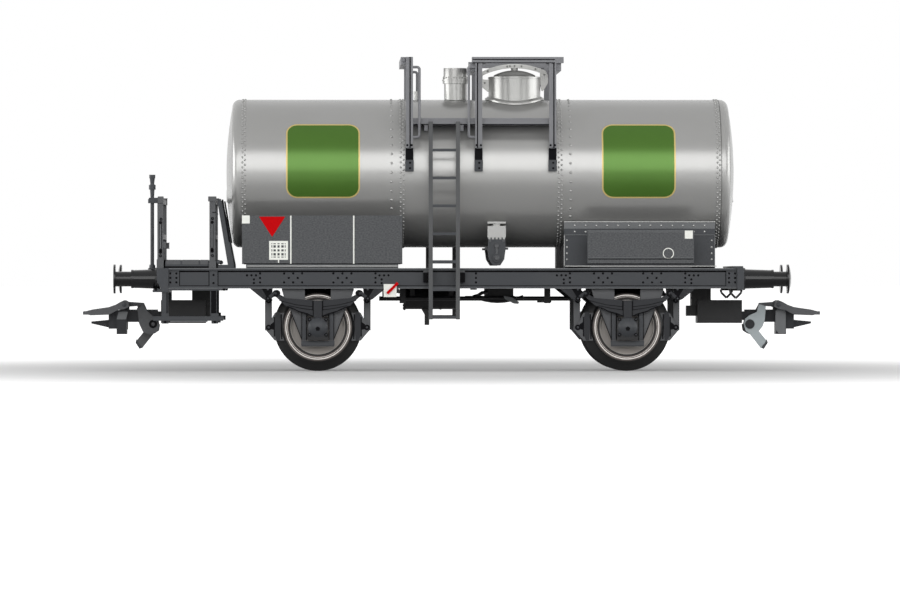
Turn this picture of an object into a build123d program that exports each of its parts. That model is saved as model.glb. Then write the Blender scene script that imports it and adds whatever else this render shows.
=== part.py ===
from build123d import *
import os
from math import asin, cos, pi, sin, sqrt

os.makedirs("parts", exist_ok=True)

# A model railway tank wagon in the 1:87 scale, in millimetres.
# X runs along the wagon, Y across it and Z up. The origin is on the floor, under the middle.
# The near side is at negative Y, and the brakeman's platform is at negative X.

# Fits shared by all pieces
seat_gap = 0.05  # between a piece and the curved shell that it sits on
running_gap = 0.05  # play of a shaft in its bearing, on the radius
swing_gap = 0.1  # play beside a piece that swings or slides
overrun = 2.0  # how far a cut reaches past what it cuts

# Wheels and axles
flange_radius = 6.5
tread_radius = 5.1
back_to_back = 14.0
wheel_width = 2.8
flange_thickness = 0.8
flange_crest = 0.3
tyre_bore = 4.5
tyre_groove_depth = 0.25
rim_radius = 3.95
hub_radius = 1.3
disc_thickness = 1.2
hub_length = 2.4
axle_radius = 0.75
journal_radius = 0.45
journal_length = 1.3
wheel_base = 45.65

# Side sills, headstocks and the deck between them
sill_rise = 5.7  # from the axle line to the underside of the sills
sill_height = 3.0
guard_gap = 0.9  # between a wheel's face and the axle guard beside it
sill_depth = 1.3
sill_recess = 0.5
sill_flange = 0.35
end_plate_length = 1.6
end_plate_thickness = 0.2
strap_width = 1.2
headstock_stand = 2.75  # past the middle of the buffers
headstock_drop = 0.2
left_headstock_thickness = 1.7
right_headstock_thickness = 1.0
headstock_chamfer = 0.7
headstock_lip = 0.6
headstock_lip_thickness = 0.35
headstock_cap_inset = 0.15
headstock_cap_length = 1.5
headstock_cap_height = 0.3
deck_thickness = 0.8
cross_beam_height = 1.9
cross_beam_width = 0.8
cross_beam_reach = 9.2  # from each axle
riser_gap = 0.35  # between the outer cross beams and the couplers' risers
riser_to_end = 6.2  # from a riser's inner face to the end of the sills
platform_bay = 5.85  # extra length of the frame at the platform
spine_width = 4.0
spine_height = 1.4
spine_inset = 8.9  # from the ends of the sills

# Tank, dome and fittings
tank_radius = 11.0
tank_lift = 3.1  # clear height between the sills and the tank
tank_left_gap = 1.1  # between the platform's rear posts and the tank
tank_right_inset = 0.9  # from the right headstock's face back to the tank
head_depth = 2.0
head_knuckle = 1.1
dome_offset = 5.15  # from the middle of the barrel, as for all that stands on the tank
dome_radius = 3.87
dome_height = 3.4
dome_foot_radius = 4.4
dome_foot_thickness = 0.3
lid_radius = 3.1
lid_rim = 0.25
lid_height = 1.0
bow_half_length = 4.9
bow_thickness = 0.65
bow_width = 1.2
bow_rise = 1.35  # underside of the bow above the dome's rim, at its middle
bow_end_rise = 0.5
bow_screw_radius = 0.35
bow_screw_stand = 0.3
lug_half_length = 5.0
lug_width = 1.3
lug_height = 1.9
lug_drop = 0.3
lug_bolt_radius = 0.25
vent_offset = -3.7
vent_radius = 1.64
vent_height = 2.4
vent_collar_radius = 1.85
vent_collar_height = 0.7
vent_neck_radius = 1.5
vent_neck_height = 0.3
vent_cap_radius = 1.72
vent_cap_height = 1.3
plug_offset = -9.55
plug_radius = 0.32
plug_height = 0.9
plug_cap_radius = 0.45
plug_cap_height = 0.35

# Saddles under the tank and the boards at its sides
saddle_drop_share = 0.6545  # how far below its axis the saddles reach the tank, of its radius
saddle_lip = 0.3
left_saddle_offset = 0.65  # from the axle to the middle of the saddle, as for the boards
left_saddle_length = 22.3
right_saddle_offset = 1.92
right_saddle_length = 22.35
board_thickness = 0.4
board_foot_height = 0.6
board_foot_thickness = 0.25
board_foot_inset = 0.6
left_board_length = 23.6
left_board_height = 7.15
right_board_length = 15.7
right_board_height = 5.0

# Outlet valves
valve_offset = 2.25
valve_drop_share = 0.7155  # from the tank's axis down to the plate's top, of its radius
valve_stand = 1.6  # from the tank's side there out to the valve's axis
valve_plate_length = 2.7
valve_plate_depth = 1.9
valve_plate_height = 1.7
valve_plate_gap = 0.35
valve_plate_cap = 0.3
valve_nose_radius = 0.6
valve_floor_gap = 0.4  # between the valve's foot and the deck
valve_length = 2.66
valve_depth = 1.7
valve_ledge_length = 3.4
valve_ledge_depth = 1.2
valve_ledge_height = 0.3
valve_ledge_drop = 1.5
valve_boss_radius = 0.6
valve_boss_length = 0.35
valve_boss_rise = 1.1
valve_shares = (  # half length, drop, of the valve's half length and height
    (0.94, 0.0), (1.0, 0.4), (0.84, 0.78), (0.4, 1.0),
    (-0.4, 1.0), (-0.84, 0.78), (-1.0, 0.4), (-0.94, 0.0),
)

# Walkways, their railings and the ladders
walkway_drop = 4.0  # underside below the tank's top
walkway_thickness = 0.9
walkway_stand = 0.6  # outer edge past the tank's side
walkway_bracket_width = 0.5
walkway_bracket_height = 0.85
walkway_bracket_gap = 0.1  # beside the ladder's stiles
left_post_offset = -10.65
middle_post_offset = -0.45
right_post_offset = 10.45
post_width = 1.03
post_depth = 0.9
post_groove_width = 0.4
post_groove_depth = 0.2
post_foot_drop = 3.4  # foot of the posts below the walkway
railing_rise = 6.0  # top of the posts above the tank
clip_width = 1.2
clip_neck_drop = 1.75
clip_neck_depth = 0.1
clip_plate_drop = 1.65
clip_plate_depth = 0.5
rail_height = 0.9
rail_left_stub = 0.5
rail_right_stub = 1.1
tie_width = 0.75
tie_height = 1.1
tie_inset = 0.6  # from the post's outer face
grip_radius = 0.2
grip_reach = 0.95
grip_bend = 0.35
grip_top_drop = 1.5  # below the top of the posts
grip_length = 10.3
stile_spacing = 4.0
stile_width = 0.6
stile_depth = 0.5
ladder_stand_off = 1.3  # gap between the sill and the ladder
ladder_foot_drop = 4.55  # below the sill's underside
rung_thickness = 0.4
rung_top_gap = 3.95  # from the highest rung to the walkway
rung_count = 7
rung_start = 0.1  # from the stile's foot to the first rung
ladder_bracket_height = 1.6
ladder_bracket_width = 1.35
ladder_hook_thickness = 0.45

# Axle guards, springs and axle boxes, with places from the axle's centre
guard_thickness = 0.5
guard_top_half = 5.3
guard_waist_half = 4.7
guard_waist_rise = 4.05
guard_shoulder_half = 4.1
guard_shoulder_rise = 2.6
guard_foot_half = 2.35
guard_foot_drop = 2.0
guard_window_half = 1.9
guard_window_rise = 3.9
horn_half = 1.7
horn_rise = 1.6
guide_width = 0.7
guide_thickness = 0.3
guide_rise = 1.85
keep_height = 0.85
keep_thickness = 0.7
box_half = 1.55
box_rise = 1.4
box_drop = 1.9
box_front_inset = 0.1  # behind the sill's edge
box_back_reach = 0.2  # past the guard's inner face
box_cap_radius = 1.48
box_cap_length = 0.65
spring_inset = 0.2  # behind the sill's edge
spring_width = 0.9
spring_eye_half = 6.15
spring_eye_rise = 4.95
spring_eye_radius = 0.5
spring_top_rise = 3.95
spring_mid_half = 4.8
spring_mid_top_rise = 4.3
spring_mid_low_rise = 3.2
spring_low_rise = 1.9
buckle_half = 0.6
buckle_stand = 0.25
shackle_half = 7.5
shackle_rise = 4.15
shackle_thickness = 0.55
bracket_outer_half = 10.0
bracket_inner_half = 6.8
bracket_tip_half = 8.1

# Brake blocks and their hangers, with places from the axle's centre
shoe_gap = 0.25
shoe_inset = 0.3  # inside the wheel's face
shoe_rise = 2.1
shoe_drop = 2.0
shoe_back_stand = 1.25  # past the tread, as for the next three
shoe_bulge_stand = 1.9
shoe_tail_stand = 2.6
hanger_stand = 2.25
shoe_bulge_rise = 0.9
shoe_tail_drop = 0.4
shoe_root_share = 0.87
hanger_width = 0.9
hanger_thickness = 0.8
hanger_foot_drop = 0.5

# Brake cylinder, rod and valve under the frame, between the inner cross beams
cylinder_share = 0.2844  # place along the bay between those beams, as for the relay
relay_share = 0.6514
cylinder_length = 8.4
cylinder_radius = 1.6
cylinder_drop = 2.3
cylinder_strap_width = 0.7
cylinder_strap_inset = 1.3
arm_offset = -0.7  # from the middle of the cylinder
arm_top_half = 0.8
arm_half = 0.35
arm_thickness = 0.8
arm_neck_drop = 2.4
arm_drop = 3.95
brake_rod_radius = 0.33
rod_left_stand = 0.1  # past the left inner beam
rod_right_stand = 1.15
brake_rod_out = 2.9
relay_length = 4.3
relay_width = 3.0
relay_height = 1.9
relay_lever_length = 7.4
relay_lever_height = 0.6
relay_lever_thickness = 0.5
relay_lever_offset = -1.3
rod_left_bracket = 3.4  # from the left inner beam
rod_right_bracket = 2.35
rod_bracket_width = 0.9
rod_bracket_foot = 0.7
release_plate_offset = 1.45  # from the left inner beam
release_plate_width = 1.9
release_plate_height = 1.9
release_plate_thickness = 0.25
release_plate_lap = 0.65  # how far the plate covers the sill
release_lever_length = 2.2
release_lever_width = 0.4
release_lever_thickness = 0.25
release_lever_offset = 0.35

# Platform at the left end
platform_floor_thickness = 1.05
platform_gap = 0.05  # between the floor and the posts
platform_inset = 0.2  # behind the sill's edge
front_post_stand = 1.05  # past the end of the sills
front_post_width = 1.1
rear_post_inset = 6.65
rear_post_width = 1.3
platform_post_depth = 0.9
platform_post_height = 10.2
platform_rail_height = 0.7
platform_rail_thickness = 0.5
platform_mid_rail_rise = 5.0
platform_post_cap = 0.35
platform_post_cap_stand = 0.25
brace_width = 0.9
brace_thickness = 0.5
brace_run = 2.35
brace_foot_height = 0.5
step_stand = 2.2  # past the end of the sills
step_reach = 8.1
step_front_stand = 0.6  # past the sills
step_depth = 2.4
step_thickness = 0.65
step_drop = 4.1
step_hanger_width = 0.95
step_hanger_thickness = 0.5
crank_out = 8.2
crank_reach = 0.75  # from the headstock's face to the spindle
crank_radius = 0.28
crank_rise = 13.8
crank_collar_radius = 0.5
crank_collar_height = 0.7
crank_collar_drop = 1.5
crank_grip_radius = 0.45
crank_grip_height = 0.5
crank_bearing_height = 0.6
crank_bearing_width = 1.2

# Buffers
buffer_spacing = 20.1
buffer_stand = 8.1  # from the end of the sills to the buffers' faces
sleeve_stand = 5.5  # from the end of the sills to the end of the sleeves
sleeve_radius = 1.3
sleeve_base_radius = 1.45
plunger_radius = 1.1
buffer_head_radius = 2.15
buffer_head_thickness = 0.3
buffer_dome = 0.35
rope_eye_inset = 0.15  # behind the end of the sills
rope_eye_half = 0.9
rope_eye_depth = 1.45
rope_eye_radius = 0.18

# Couplers, given for the right end, with places along X from the coupler's pivot
coupler_height = 8.13  # middle of the coupler's shaft above the floor
pivot_inset = 3.7  # from the end of the sills
pivot_radius = 0.6
pocket_back = 1.65
pocket_front = 5.0
pocket_half = 2.7
pocket_wall = 0.4
pocket_back_wall = 0.35
pocket_drop = 1.08  # below the coupler's middle
pocket_rise = 2.34
riser_front = 0.4
riser_half = 1.9
pocket_tail_back = 3.2
pocket_tail_half = 1.2
pocket_tail_drop = 0.03
pocket_tail_rise = 1.52
tail_half = 1.0
tail_eye_radius = 1.15
tail_thickness = 1.3
tail_clearance = 0.15
shaft_start = 5.5
head_start = 10.1
shaft_half = 0.65
shaft_height = 1.86
head_length = 1.5
head_half = 2.2
head_drop = 2.73
head_rise = 0.82
nose_length = 1.2
nose_half = 1.6
nose_drop = 1.93
prong_length = 2.6
prong_half = 0.8
prong_root_drop = 1.75
prong_root_rise = 0.6  # below the coupler's middle
prong_tip_drop = 1.15
prong_tip_height = 0.3
hinge_reach = 10.4
hinge_rise = 1.67
hinge_pin_radius = 0.3
hinge_sleeve_radius = 0.6
hinge_boss_half = 0.6
hinge_boss_radius = 0.65
loop_outer = 3.6
loop_bar = 0.6
loop_reach = 6.15  # from the hinge to the loop's tip
loop_height = 2.25
loop_front_bar = 0.7
loop_front_drop = 1.5
loop_front_height = 0.5
tail_link_inner = 0.75
tail_link_thickness = 0.5
tail_link_length = 3.25
tail_link_height = 1.25
lever_reach = 6.21
lever_drop = 1.23
lever_pin_radius = 0.5
lever_inner = 1.35
lever_thickness = 0.6
lever_width = 3.57
lever_height = 6.7
lever_pin_head_radius = 0.7
lever_pin_head_thickness = 0.15
ear_thickness = 0.6
loop_arm_shares = (  # from the hinge: X of the loop's reach, Z of its height
    (-0.114, -0.133), (-0.098, 0.133), (0.0, 0.289), (0.098, 0.178), (0.211, 0.0), (0.374, -0.16),
    (0.78, -0.324), (0.976, -0.467), (1.0, -0.578), (0.813, -0.711), (0.374, -0.667),
    (0.163, -0.356), (0.0, -0.289),
)
tail_link_shares = (  # from the hinge: X of the link's length, Z of its height
    (0.0, 0.36), (-0.862, 0.2), (-1.0, -0.64), (-0.862, -0.64), (-0.769, -0.16), (0.0, -0.28),
)
lever_shares = (  # from the lever's pin: X of the lever's width, Z of its height
    (0.375, 0.445), (0.667, 0.4), (0.625, 0.09), (0.541, -0.045), (0.375, -0.155), (0.751, -0.4),
    (0.583, -0.555), (0.459, -0.533), (0.0, -0.222), (-0.165, -0.155), (-0.249, -0.022),
    (-0.207, 0.112), (0.0, 0.2), (0.291, 0.267),
)
ear_shares = (  # from the lever's pin, as the lever's own
    (0.375, 0.358), (0.667, 0.358), (0.625, 0.09), (0.541, -0.045), (0.375, -0.155), (0.0, -0.209),
    (-0.165, -0.155), (-0.241, -0.022), (-0.185, 0.112), (0.0, 0.2), (0.291, 0.267),
)

# Heights and places that follow from the sizes above
axle_z = flange_radius
wheel_back = back_to_back / 2
wheel_face = wheel_back + wheel_width
guard_inner = wheel_face + guard_gap
sill_bottom = axle_z + sill_rise
sill_top = sill_bottom + sill_height
sill_inner = guard_inner + guard_thickness
sill_outer = sill_inner + sill_depth
web_face = sill_outer - sill_recess
deck_bottom = sill_top - deck_thickness
right_overhang = cross_beam_reach + cross_beam_width / 2 + riser_gap + riser_to_end
left_overhang = right_overhang + platform_bay
sill_length = wheel_base + left_overhang + right_overhang
sill_end = sill_length / 2
left_axle_x = -sill_end + left_overhang
right_axle_x = left_axle_x + wheel_base
axle_places = (("left", left_axle_x), ("right", right_axle_x))
left_beam_x = left_axle_x + cross_beam_reach
right_beam_x = right_axle_x - cross_beam_reach
buffer_y = buffer_spacing / 2
headstock_outer = buffer_y + headstock_stand
headstock_bottom = sill_bottom - headstock_drop
left_face = -sill_end - left_headstock_thickness
right_face = sill_end + right_headstock_thickness
front_post_x = -sill_end - front_post_stand
rear_post_x = -sill_end + rear_post_inset
tank_z = sill_top + tank_lift + tank_radius
tank_top = tank_z + tank_radius
barrel_left = rear_post_x + rear_post_width / 2 + tank_left_gap + head_depth
barrel_right = right_face - tank_right_inset - head_depth
barrel_x = (barrel_left + barrel_right) / 2
dome_x = barrel_x + dome_offset
vent_x = barrel_x + vent_offset
plug_x = barrel_x + plug_offset
valve_x = barrel_x + valve_offset
dome_top = tank_top + dome_height
walkway_low = tank_top - walkway_drop
walkway_outer = tank_radius + walkway_stand
left_post_x = barrel_x + left_post_offset
middle_post_x = barrel_x + middle_post_offset
right_post_x = barrel_x + right_post_offset
post_foot = walkway_low - post_foot_drop
post_top = tank_top + railing_rise
post_outer = walkway_outer + post_depth
buffer_z = (headstock_bottom + sill_top) / 2


def block(x_span, y_span, z_span, mode=Mode.ADD):
    """A block between a low and a high place along each axis."""
    spans = (x_span, y_span, z_span)
    with Locations(tuple((low + high) / 2 for low, high in spans)):
        Box(*(high - low for low, high in spans), mode=mode)


def rod(start, end, radius, mode=Mode.ADD):
    """A round rod from one point to another."""
    run = Vector(*end) - Vector(*start)
    with Locations(Plane(origin=start, z_dir=run)):
        Cylinder(radius, run.length, align=(Align.CENTER, Align.CENTER, Align.MIN), mode=mode)


def plate(points, y_span, mode=Mode.ADD):
    """A flat plate with its outline in X and Z, between two places along Y."""
    with BuildSketch(Plane.XZ.offset(-y_span[1]), mode=Mode.PRIVATE) as outline:
        with BuildLine():
            Polyline(*points, close=True)
        make_face()
    extrude(outline.sketch, amount=y_span[1] - y_span[0], mode=mode)


def around(centre_x, centre_z, points):
    """Points given from a centre, as places in X and Z."""
    return [(centre_x + x, centre_z + z) for x, z in points]


def from_shares(centre_x, centre_z, width, height, shares):
    """Points given from a centre as shares of a width and a height."""
    return [(centre_x + x * width, centre_z + z * height) for x, z in shares]


def crown_middle(half, rise):
    """Middle of an arc that rises from half a chord to its crown: distance from the axis, height."""
    arc_radius = (half**2 + rise**2) / (2 * rise)
    half_angle = asin(half / arc_radius) / 2
    return arc_radius * sin(half_angle), arc_radius * cos(half_angle) - arc_radius + rise


def cut_tank(gap=seat_gap):
    """Cut the tank's round shell out of the piece being built."""
    start = (barrel_left - overrun, 0, tank_z)
    end = (barrel_right + overrun, 0, tank_z)
    rod(start, end, tank_radius + gap, mode=Mode.SUBTRACT)


# Tank barrel
with BuildPart() as tank_barrel:
    rod((barrel_left, 0, tank_z), (barrel_right, 0, tank_z), tank_radius)
tank_barrel.part.label = "tank_barrel"
export_step(tank_barrel.part, "parts/tank_barrel.step")

# Dished heads, turned from a knuckle arc and a crown arc
crown_out, crown_up = crown_middle(tank_radius - head_knuckle, head_depth - head_knuckle)
with BuildPart() as tank_heads:
    with BuildSketch(Plane.XZ):
        with BuildLine():
            Line((barrel_right, tank_z), (barrel_right, tank_top))
            ThreePointArc(
                (barrel_right, tank_top),
                (barrel_right + head_knuckle * sin(pi / 4), tank_top - head_knuckle * (1 - cos(pi / 4))),
                (barrel_right + head_knuckle, tank_top - head_knuckle),
            )
            ThreePointArc(
                (barrel_right + head_knuckle, tank_top - head_knuckle),
                (barrel_right + head_knuckle + crown_up, tank_z + crown_out),
                (barrel_right + head_depth, tank_z),
            )
            Line((barrel_right + head_depth, tank_z), (barrel_right, tank_z))
        make_face()
    revolve(axis=Axis((0, 0, tank_z), (1, 0, 0)))
    mirror(about=Plane.YZ.offset(barrel_x))
tank_heads.part.label = "tank_heads"
export_step(tank_heads.part, "parts/tank_heads.step")

# Dome with a foot that follows the tank
with BuildPart() as dome:
    rod((dome_x, 0, tank_z), (dome_x, 0, dome_top), dome_foot_radius)
    rod(
        (dome_x - dome_foot_radius - overrun, 0, tank_z),
        (dome_x + dome_foot_radius + overrun, 0, tank_z),
        tank_radius + dome_foot_thickness,
        mode=Mode.INTERSECT,
    )
    rod((dome_x, 0, tank_z), (dome_x, 0, dome_top), dome_radius)
    cut_tank()
dome.part.label = "dome"
export_step(dome.part, "parts/dome.step")

# Domed lid
lid_out, lid_up = crown_middle(lid_radius, lid_height - lid_rim)
with BuildPart() as dome_lid:
    with BuildSketch(Plane.XZ):
        with BuildLine():
            Polyline(
                (dome_x, dome_top + lid_height),
                (dome_x, dome_top),
                (dome_x + lid_radius, dome_top),
                (dome_x + lid_radius, dome_top + lid_rim),
            )
            ThreePointArc(
                (dome_x + lid_radius, dome_top + lid_rim),
                (dome_x + lid_out, dome_top + lid_rim + lid_up),
                (dome_x, dome_top + lid_height),
            )
        make_face()
    revolve(axis=Axis((dome_x, 0, 0), (0, 0, 1)))
dome_lid.part.label = "dome_lid"
export_step(dome_lid.part, "parts/dome_lid.step")

# Clamp bow over the lid, with its screw, bolts and lugs
bow_low_middle = dome_top + bow_rise
bow_low_end = dome_top + bow_end_rise
lug_top = dome_top - lug_drop
lug_bolt_x = (dome_radius + lug_half_length) / 2
with BuildPart() as dome_clamp:
    for side in (-1, 1):
        lug_edges = sorted((dome_x, dome_x + side * lug_half_length))
        block(lug_edges, (-lug_width / 2, lug_width / 2), (lug_top - lug_height, lug_top))
    rod((dome_x, 0, tank_z), (dome_x, 0, dome_top), dome_radius + seat_gap, mode=Mode.SUBTRACT)
    for side in (-1, 1):
        bolt_x = dome_x + side * lug_bolt_x
        rod((bolt_x, 0, lug_top), (bolt_x, 0, bow_low_end + bow_thickness), lug_bolt_radius)
    with BuildSketch(Plane.XZ.offset(-bow_width / 2)):
        with BuildLine():
            ThreePointArc(
                (dome_x - bow_half_length, bow_low_end),
                (dome_x, bow_low_middle),
                (dome_x + bow_half_length, bow_low_end),
            )
            Line(
                (dome_x + bow_half_length, bow_low_end),
                (dome_x + bow_half_length, bow_low_end + bow_thickness),
            )
            ThreePointArc(
                (dome_x + bow_half_length, bow_low_end + bow_thickness),
                (dome_x, bow_low_middle + bow_thickness),
                (dome_x - bow_half_length, bow_low_end + bow_thickness),
            )
            Line(
                (dome_x - bow_half_length, bow_low_end + bow_thickness),
                (dome_x - bow_half_length, bow_low_end),
            )
        make_face()
    extrude(amount=bow_width)
    rod(
        (dome_x, 0, dome_top + lid_height),
        (dome_x, 0, bow_low_middle + bow_thickness + bow_screw_stand),
        bow_screw_radius,
    )
dome_clamp.part.label = "dome_clamp"
export_step(dome_clamp.part, "parts/dome_clamp.step")

# Vent stack, built up from rings
vent_table = (  # radius, height
    (vent_radius, vent_height),
    (vent_collar_radius, vent_collar_height),
    (vent_neck_radius, vent_neck_height),
    (vent_cap_radius, vent_cap_height),
)
with BuildPart() as vent_stack:
    rod((vent_x, 0, tank_z), (vent_x, 0, tank_top), vent_radius)
    ring_z = tank_top
    for radius, height in vent_table:
        rod((vent_x, 0, ring_z), (vent_x, 0, ring_z + height), radius)
        ring_z += height
    cut_tank()
vent_stack.part.label = "vent_stack"
export_step(vent_stack.part, "parts/vent_stack.step")

# Small capped plug beside the vent
with BuildPart() as filler_plug:
    rod((plug_x, 0, tank_z), (plug_x, 0, tank_top + plug_height), plug_radius)
    cap_z = tank_top + plug_height
    rod((plug_x, 0, cap_z), (plug_x, 0, cap_z + plug_cap_height), plug_cap_radius)
    cut_tank()
filler_plug.part.label = "filler_plug"
export_step(filler_plug.part, "parts/filler_plug.step")

# Saddles that carry the tank on the deck
saddle_top = tank_z - saddle_drop_share * tank_radius
saddle_half = tank_radius * sqrt(1 - saddle_drop_share**2) + saddle_lip
saddle_table = (  # node, middle, length
    ("saddle_left", left_axle_x + left_saddle_offset, left_saddle_length),
    ("saddle_right", right_axle_x + right_saddle_offset, right_saddle_length),
)
for node, middle, length in saddle_table:
    with BuildPart() as saddle:
        block(
            (middle - length / 2, middle + length / 2),
            (-saddle_half, saddle_half),
            (sill_top, saddle_top),
        )
        cut_tank()
    saddle.part.label = node
    export_step(saddle.part, f"parts/{node}.step")

# Boards that stand on the sills, one on each side
board_table = (  # node, middle, length, height
    ("boards_left", left_axle_x + left_saddle_offset, left_board_length, left_board_height),
    ("boards_right", right_axle_x + right_saddle_offset, right_board_length, right_board_height),
)
for node, middle, length, height in board_table:
    with BuildPart() as boards:
        board_low = sill_top + board_foot_height
        block(
            (middle - length / 2, middle + length / 2),
            (-sill_outer, -sill_outer + board_thickness),
            (board_low, board_low + height),
        )
        foot_half = length / 2 - board_foot_inset
        foot_back = -sill_outer + board_thickness
        block(
            (middle - foot_half, middle + foot_half),
            (foot_back - board_foot_thickness, foot_back),
            (sill_top, board_low),
        )
        mirror(about=Plane.XZ)
    boards.part.label = node
    export_step(boards.part, f"parts/{node}.step")

# Outlet necks at the tank's sides, with the plates that the valves hang from
plate_top = tank_z - valve_drop_share * tank_radius
plate_low = plate_top - valve_plate_height
valve_y = -tank_radius * sqrt(1 - valve_drop_share**2) - valve_stand
plate_x = (valve_x - valve_plate_length / 2, valve_x + valve_plate_length / 2)
plate_y = (valve_y - valve_plate_depth / 2, -tank_radius / 2)
with BuildPart() as outlet_necks:
    block(plate_x, plate_y, (plate_low, plate_top))
    cap_low = plate_top + valve_plate_gap
    rod((valve_x, valve_y, plate_top), (valve_x, valve_y, cap_low), valve_nose_radius)
    block(plate_x, plate_y, (cap_low, cap_low + valve_plate_cap))
    cut_tank()
    mirror(about=Plane.XZ)
outlet_necks.part.label = "outlet_necks"
export_step(outlet_necks.part, "parts/outlet_necks.step")

# Outlet valves under the necks
valve_height = plate_low - sill_top - valve_floor_gap
with BuildPart() as outlet_valves:
    valve_outline = [
        (valve_x + x * valve_length / 2, plate_low - drop * valve_height) for x, drop in valve_shares
    ]
    plate(valve_outline, (valve_y - valve_depth / 2, valve_y + valve_depth / 2))
    ledge_top = plate_low - valve_ledge_drop
    block(
        (valve_x - valve_ledge_length / 2, valve_x + valve_ledge_length / 2),
        (valve_y - valve_ledge_depth / 2, valve_y + valve_ledge_depth / 2),
        (ledge_top - valve_ledge_height, ledge_top),
    )
    boss_z = plate_low - valve_height + valve_boss_rise
    boss_front = valve_y - valve_depth / 2 - valve_boss_length
    rod((valve_x, valve_y, boss_z), (valve_x, boss_front, boss_z), valve_boss_radius)
    mirror(about=Plane.XZ)
outlet_valves.part.label = "outlet_valves"
export_step(outlet_valves.part, "parts/outlet_valves.step")

# Walkways beside the dome, one on each side
walkway_span = (left_post_x - post_width / 2, right_post_x + post_width / 2)
ladder_x = (left_post_x + middle_post_x) / 2
stile_places = (ladder_x - stile_spacing / 2, ladder_x + stile_spacing / 2)
bracket_offset = (stile_spacing + stile_width + walkway_bracket_width) / 2 + walkway_bracket_gap
with BuildPart() as walkway_near:
    block(walkway_span, (-walkway_outer, 0), (walkway_low, walkway_low + walkway_thickness))
    for x in (ladder_x - bracket_offset, ladder_x + bracket_offset):
        block(
            (x - walkway_bracket_width / 2, x + walkway_bracket_width / 2),
            (-walkway_outer, 0),
            (walkway_low - walkway_bracket_height, walkway_low),
        )
    cut_tank()
    block(
        (walkway_span[0], walkway_span[1]),
        (-tank_radius / 2, 0),
        (tank_z, tank_top + overrun),
        mode=Mode.SUBTRACT,
    )
walkway_near.part.label = "walkway_near"
export_step(walkway_near.part, "parts/walkway_near.step")
with BuildPart() as walkway_far:
    mirror(walkway_near.part, about=Plane.XZ)
walkway_far.part.label = "walkway_far"
export_step(walkway_far.part, "parts/walkway_far.step")

# Railing posts with clips on the tank, three on each side
rail_low = post_top - rail_height
post_table = (  # middle, top
    (left_post_x, post_top),
    (middle_post_x, rail_low),
    (right_post_x, rail_low),
)
with BuildPart() as railing_posts:
    for middle, top in post_table:
        post_x = (middle - post_width / 2, middle + post_width / 2)
        block(post_x, (-post_outer, -walkway_outer), (post_foot, top))
        block(
            (middle - post_groove_width / 2, middle + post_groove_width / 2),
            (-post_outer, -post_outer + post_groove_depth),
            (post_foot, top),
            mode=Mode.SUBTRACT,
        )
        clip_x = (middle - clip_width / 2, middle + clip_width / 2)
        neck_foot = post_foot - clip_neck_drop
        block(clip_x, (-walkway_outer - clip_neck_depth, -tank_radius / 2), (neck_foot, post_foot))
        block(
            clip_x,
            (-walkway_outer - clip_plate_depth, -tank_radius / 2),
            (neck_foot - clip_plate_drop, neck_foot),
        )
    cut_tank()
    mirror(about=Plane.XZ)
railing_posts.part.label = "railing_posts"
export_step(railing_posts.part, "parts/railing_posts.step")

# Top rails between the middle and right posts
rail_span = (
    middle_post_x - post_width / 2 - rail_left_stub,
    right_post_x + post_width / 2 + rail_right_stub,
)
with BuildPart() as railing_rails:
    block(rail_span, (-post_outer, -walkway_outer), (rail_low, post_top))
    mirror(about=Plane.XZ)
railing_rails.part.label = "railing_rails"
export_step(railing_rails.part, "parts/railing_rails.step")

# Ties that join the near and far posts across the tank
tie_table = (  # left edge, top
    (left_post_x - post_width / 2 - tie_width, post_top),
    (middle_post_x - post_width / 2 - tie_width, rail_low),
    (right_post_x + post_width / 2, rail_low),
)
with BuildPart() as railing_ties:
    for left, top in tie_table:
        tie_half = post_outer - tie_inset
        block((left, left + tie_width), (-tie_half, tie_half), (top - tie_height, top))
railing_ties.part.label = "railing_ties"
export_step(railing_ties.part, "parts/railing_ties.step")

# Bent hand grips on the posts beside the ladder
grip_y = -post_outer + grip_radius + seat_gap
grip_top = post_top - grip_top_drop
grip_table = (  # post's face, direction
    (left_post_x + post_width / 2, 1),
    (middle_post_x - post_width / 2, -1),
)
with BuildPart() as hand_grips:
    for face, direction in grip_table:
        reach = face + direction * grip_reach
        with BuildLine(mode=Mode.PRIVATE) as bend:
            FilletPolyline(
                (face, grip_y, grip_top),
                (reach, grip_y, grip_top),
                (reach, grip_y, grip_top - grip_length),
                (face, grip_y, grip_top - grip_length),
                radius=grip_bend,
            )
        with BuildSketch(Plane(origin=(face, grip_y, grip_top), z_dir=(direction, 0, 0))):
            Circle(grip_radius)
        sweep(path=bend.line)
    mirror(about=Plane.XZ)
hand_grips.part.label = "hand_grips"
export_step(hand_grips.part, "parts/hand_grips.step")

# Ladders from the walkways down past the sills
ladder_back = sill_outer + ladder_stand_off
ladder_foot = sill_bottom - ladder_foot_drop
ladder_top = walkway_low + ladder_hook_thickness
first_rung = ladder_foot + rung_start
rung_pitch = (walkway_low - rung_top_gap - first_rung) / (rung_count - 1)
with BuildPart() as ladder_near:
    for x, direction in zip(stile_places, (-1, 1)):
        stile_x = (x - stile_width / 2, x + stile_width / 2)
        block(stile_x, (-ladder_back - stile_depth, -ladder_back), (ladder_foot, ladder_top))
        block(stile_x, (-ladder_back, -walkway_outer), (walkway_low, ladder_top))
        bracket_top = sill_top - sill_flange
        bracket_z = (bracket_top - ladder_bracket_height, bracket_top)
        block(stile_x, (-ladder_back, -sill_outer), bracket_z)
        inner_edge = x - direction * stile_width / 2
        bracket_x = sorted((inner_edge, inner_edge + direction * ladder_bracket_width))
        block(bracket_x, (-sill_outer, -web_face), bracket_z)
    for step in range(rung_count):
        rung_z = first_rung + step * rung_pitch
        block(stile_places, (-ladder_back - stile_depth, -ladder_back), (rung_z, rung_z + rung_thickness))
ladder_near.part.label = "ladder_near"
export_step(ladder_near.part, "parts/ladder_near.step")
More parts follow.
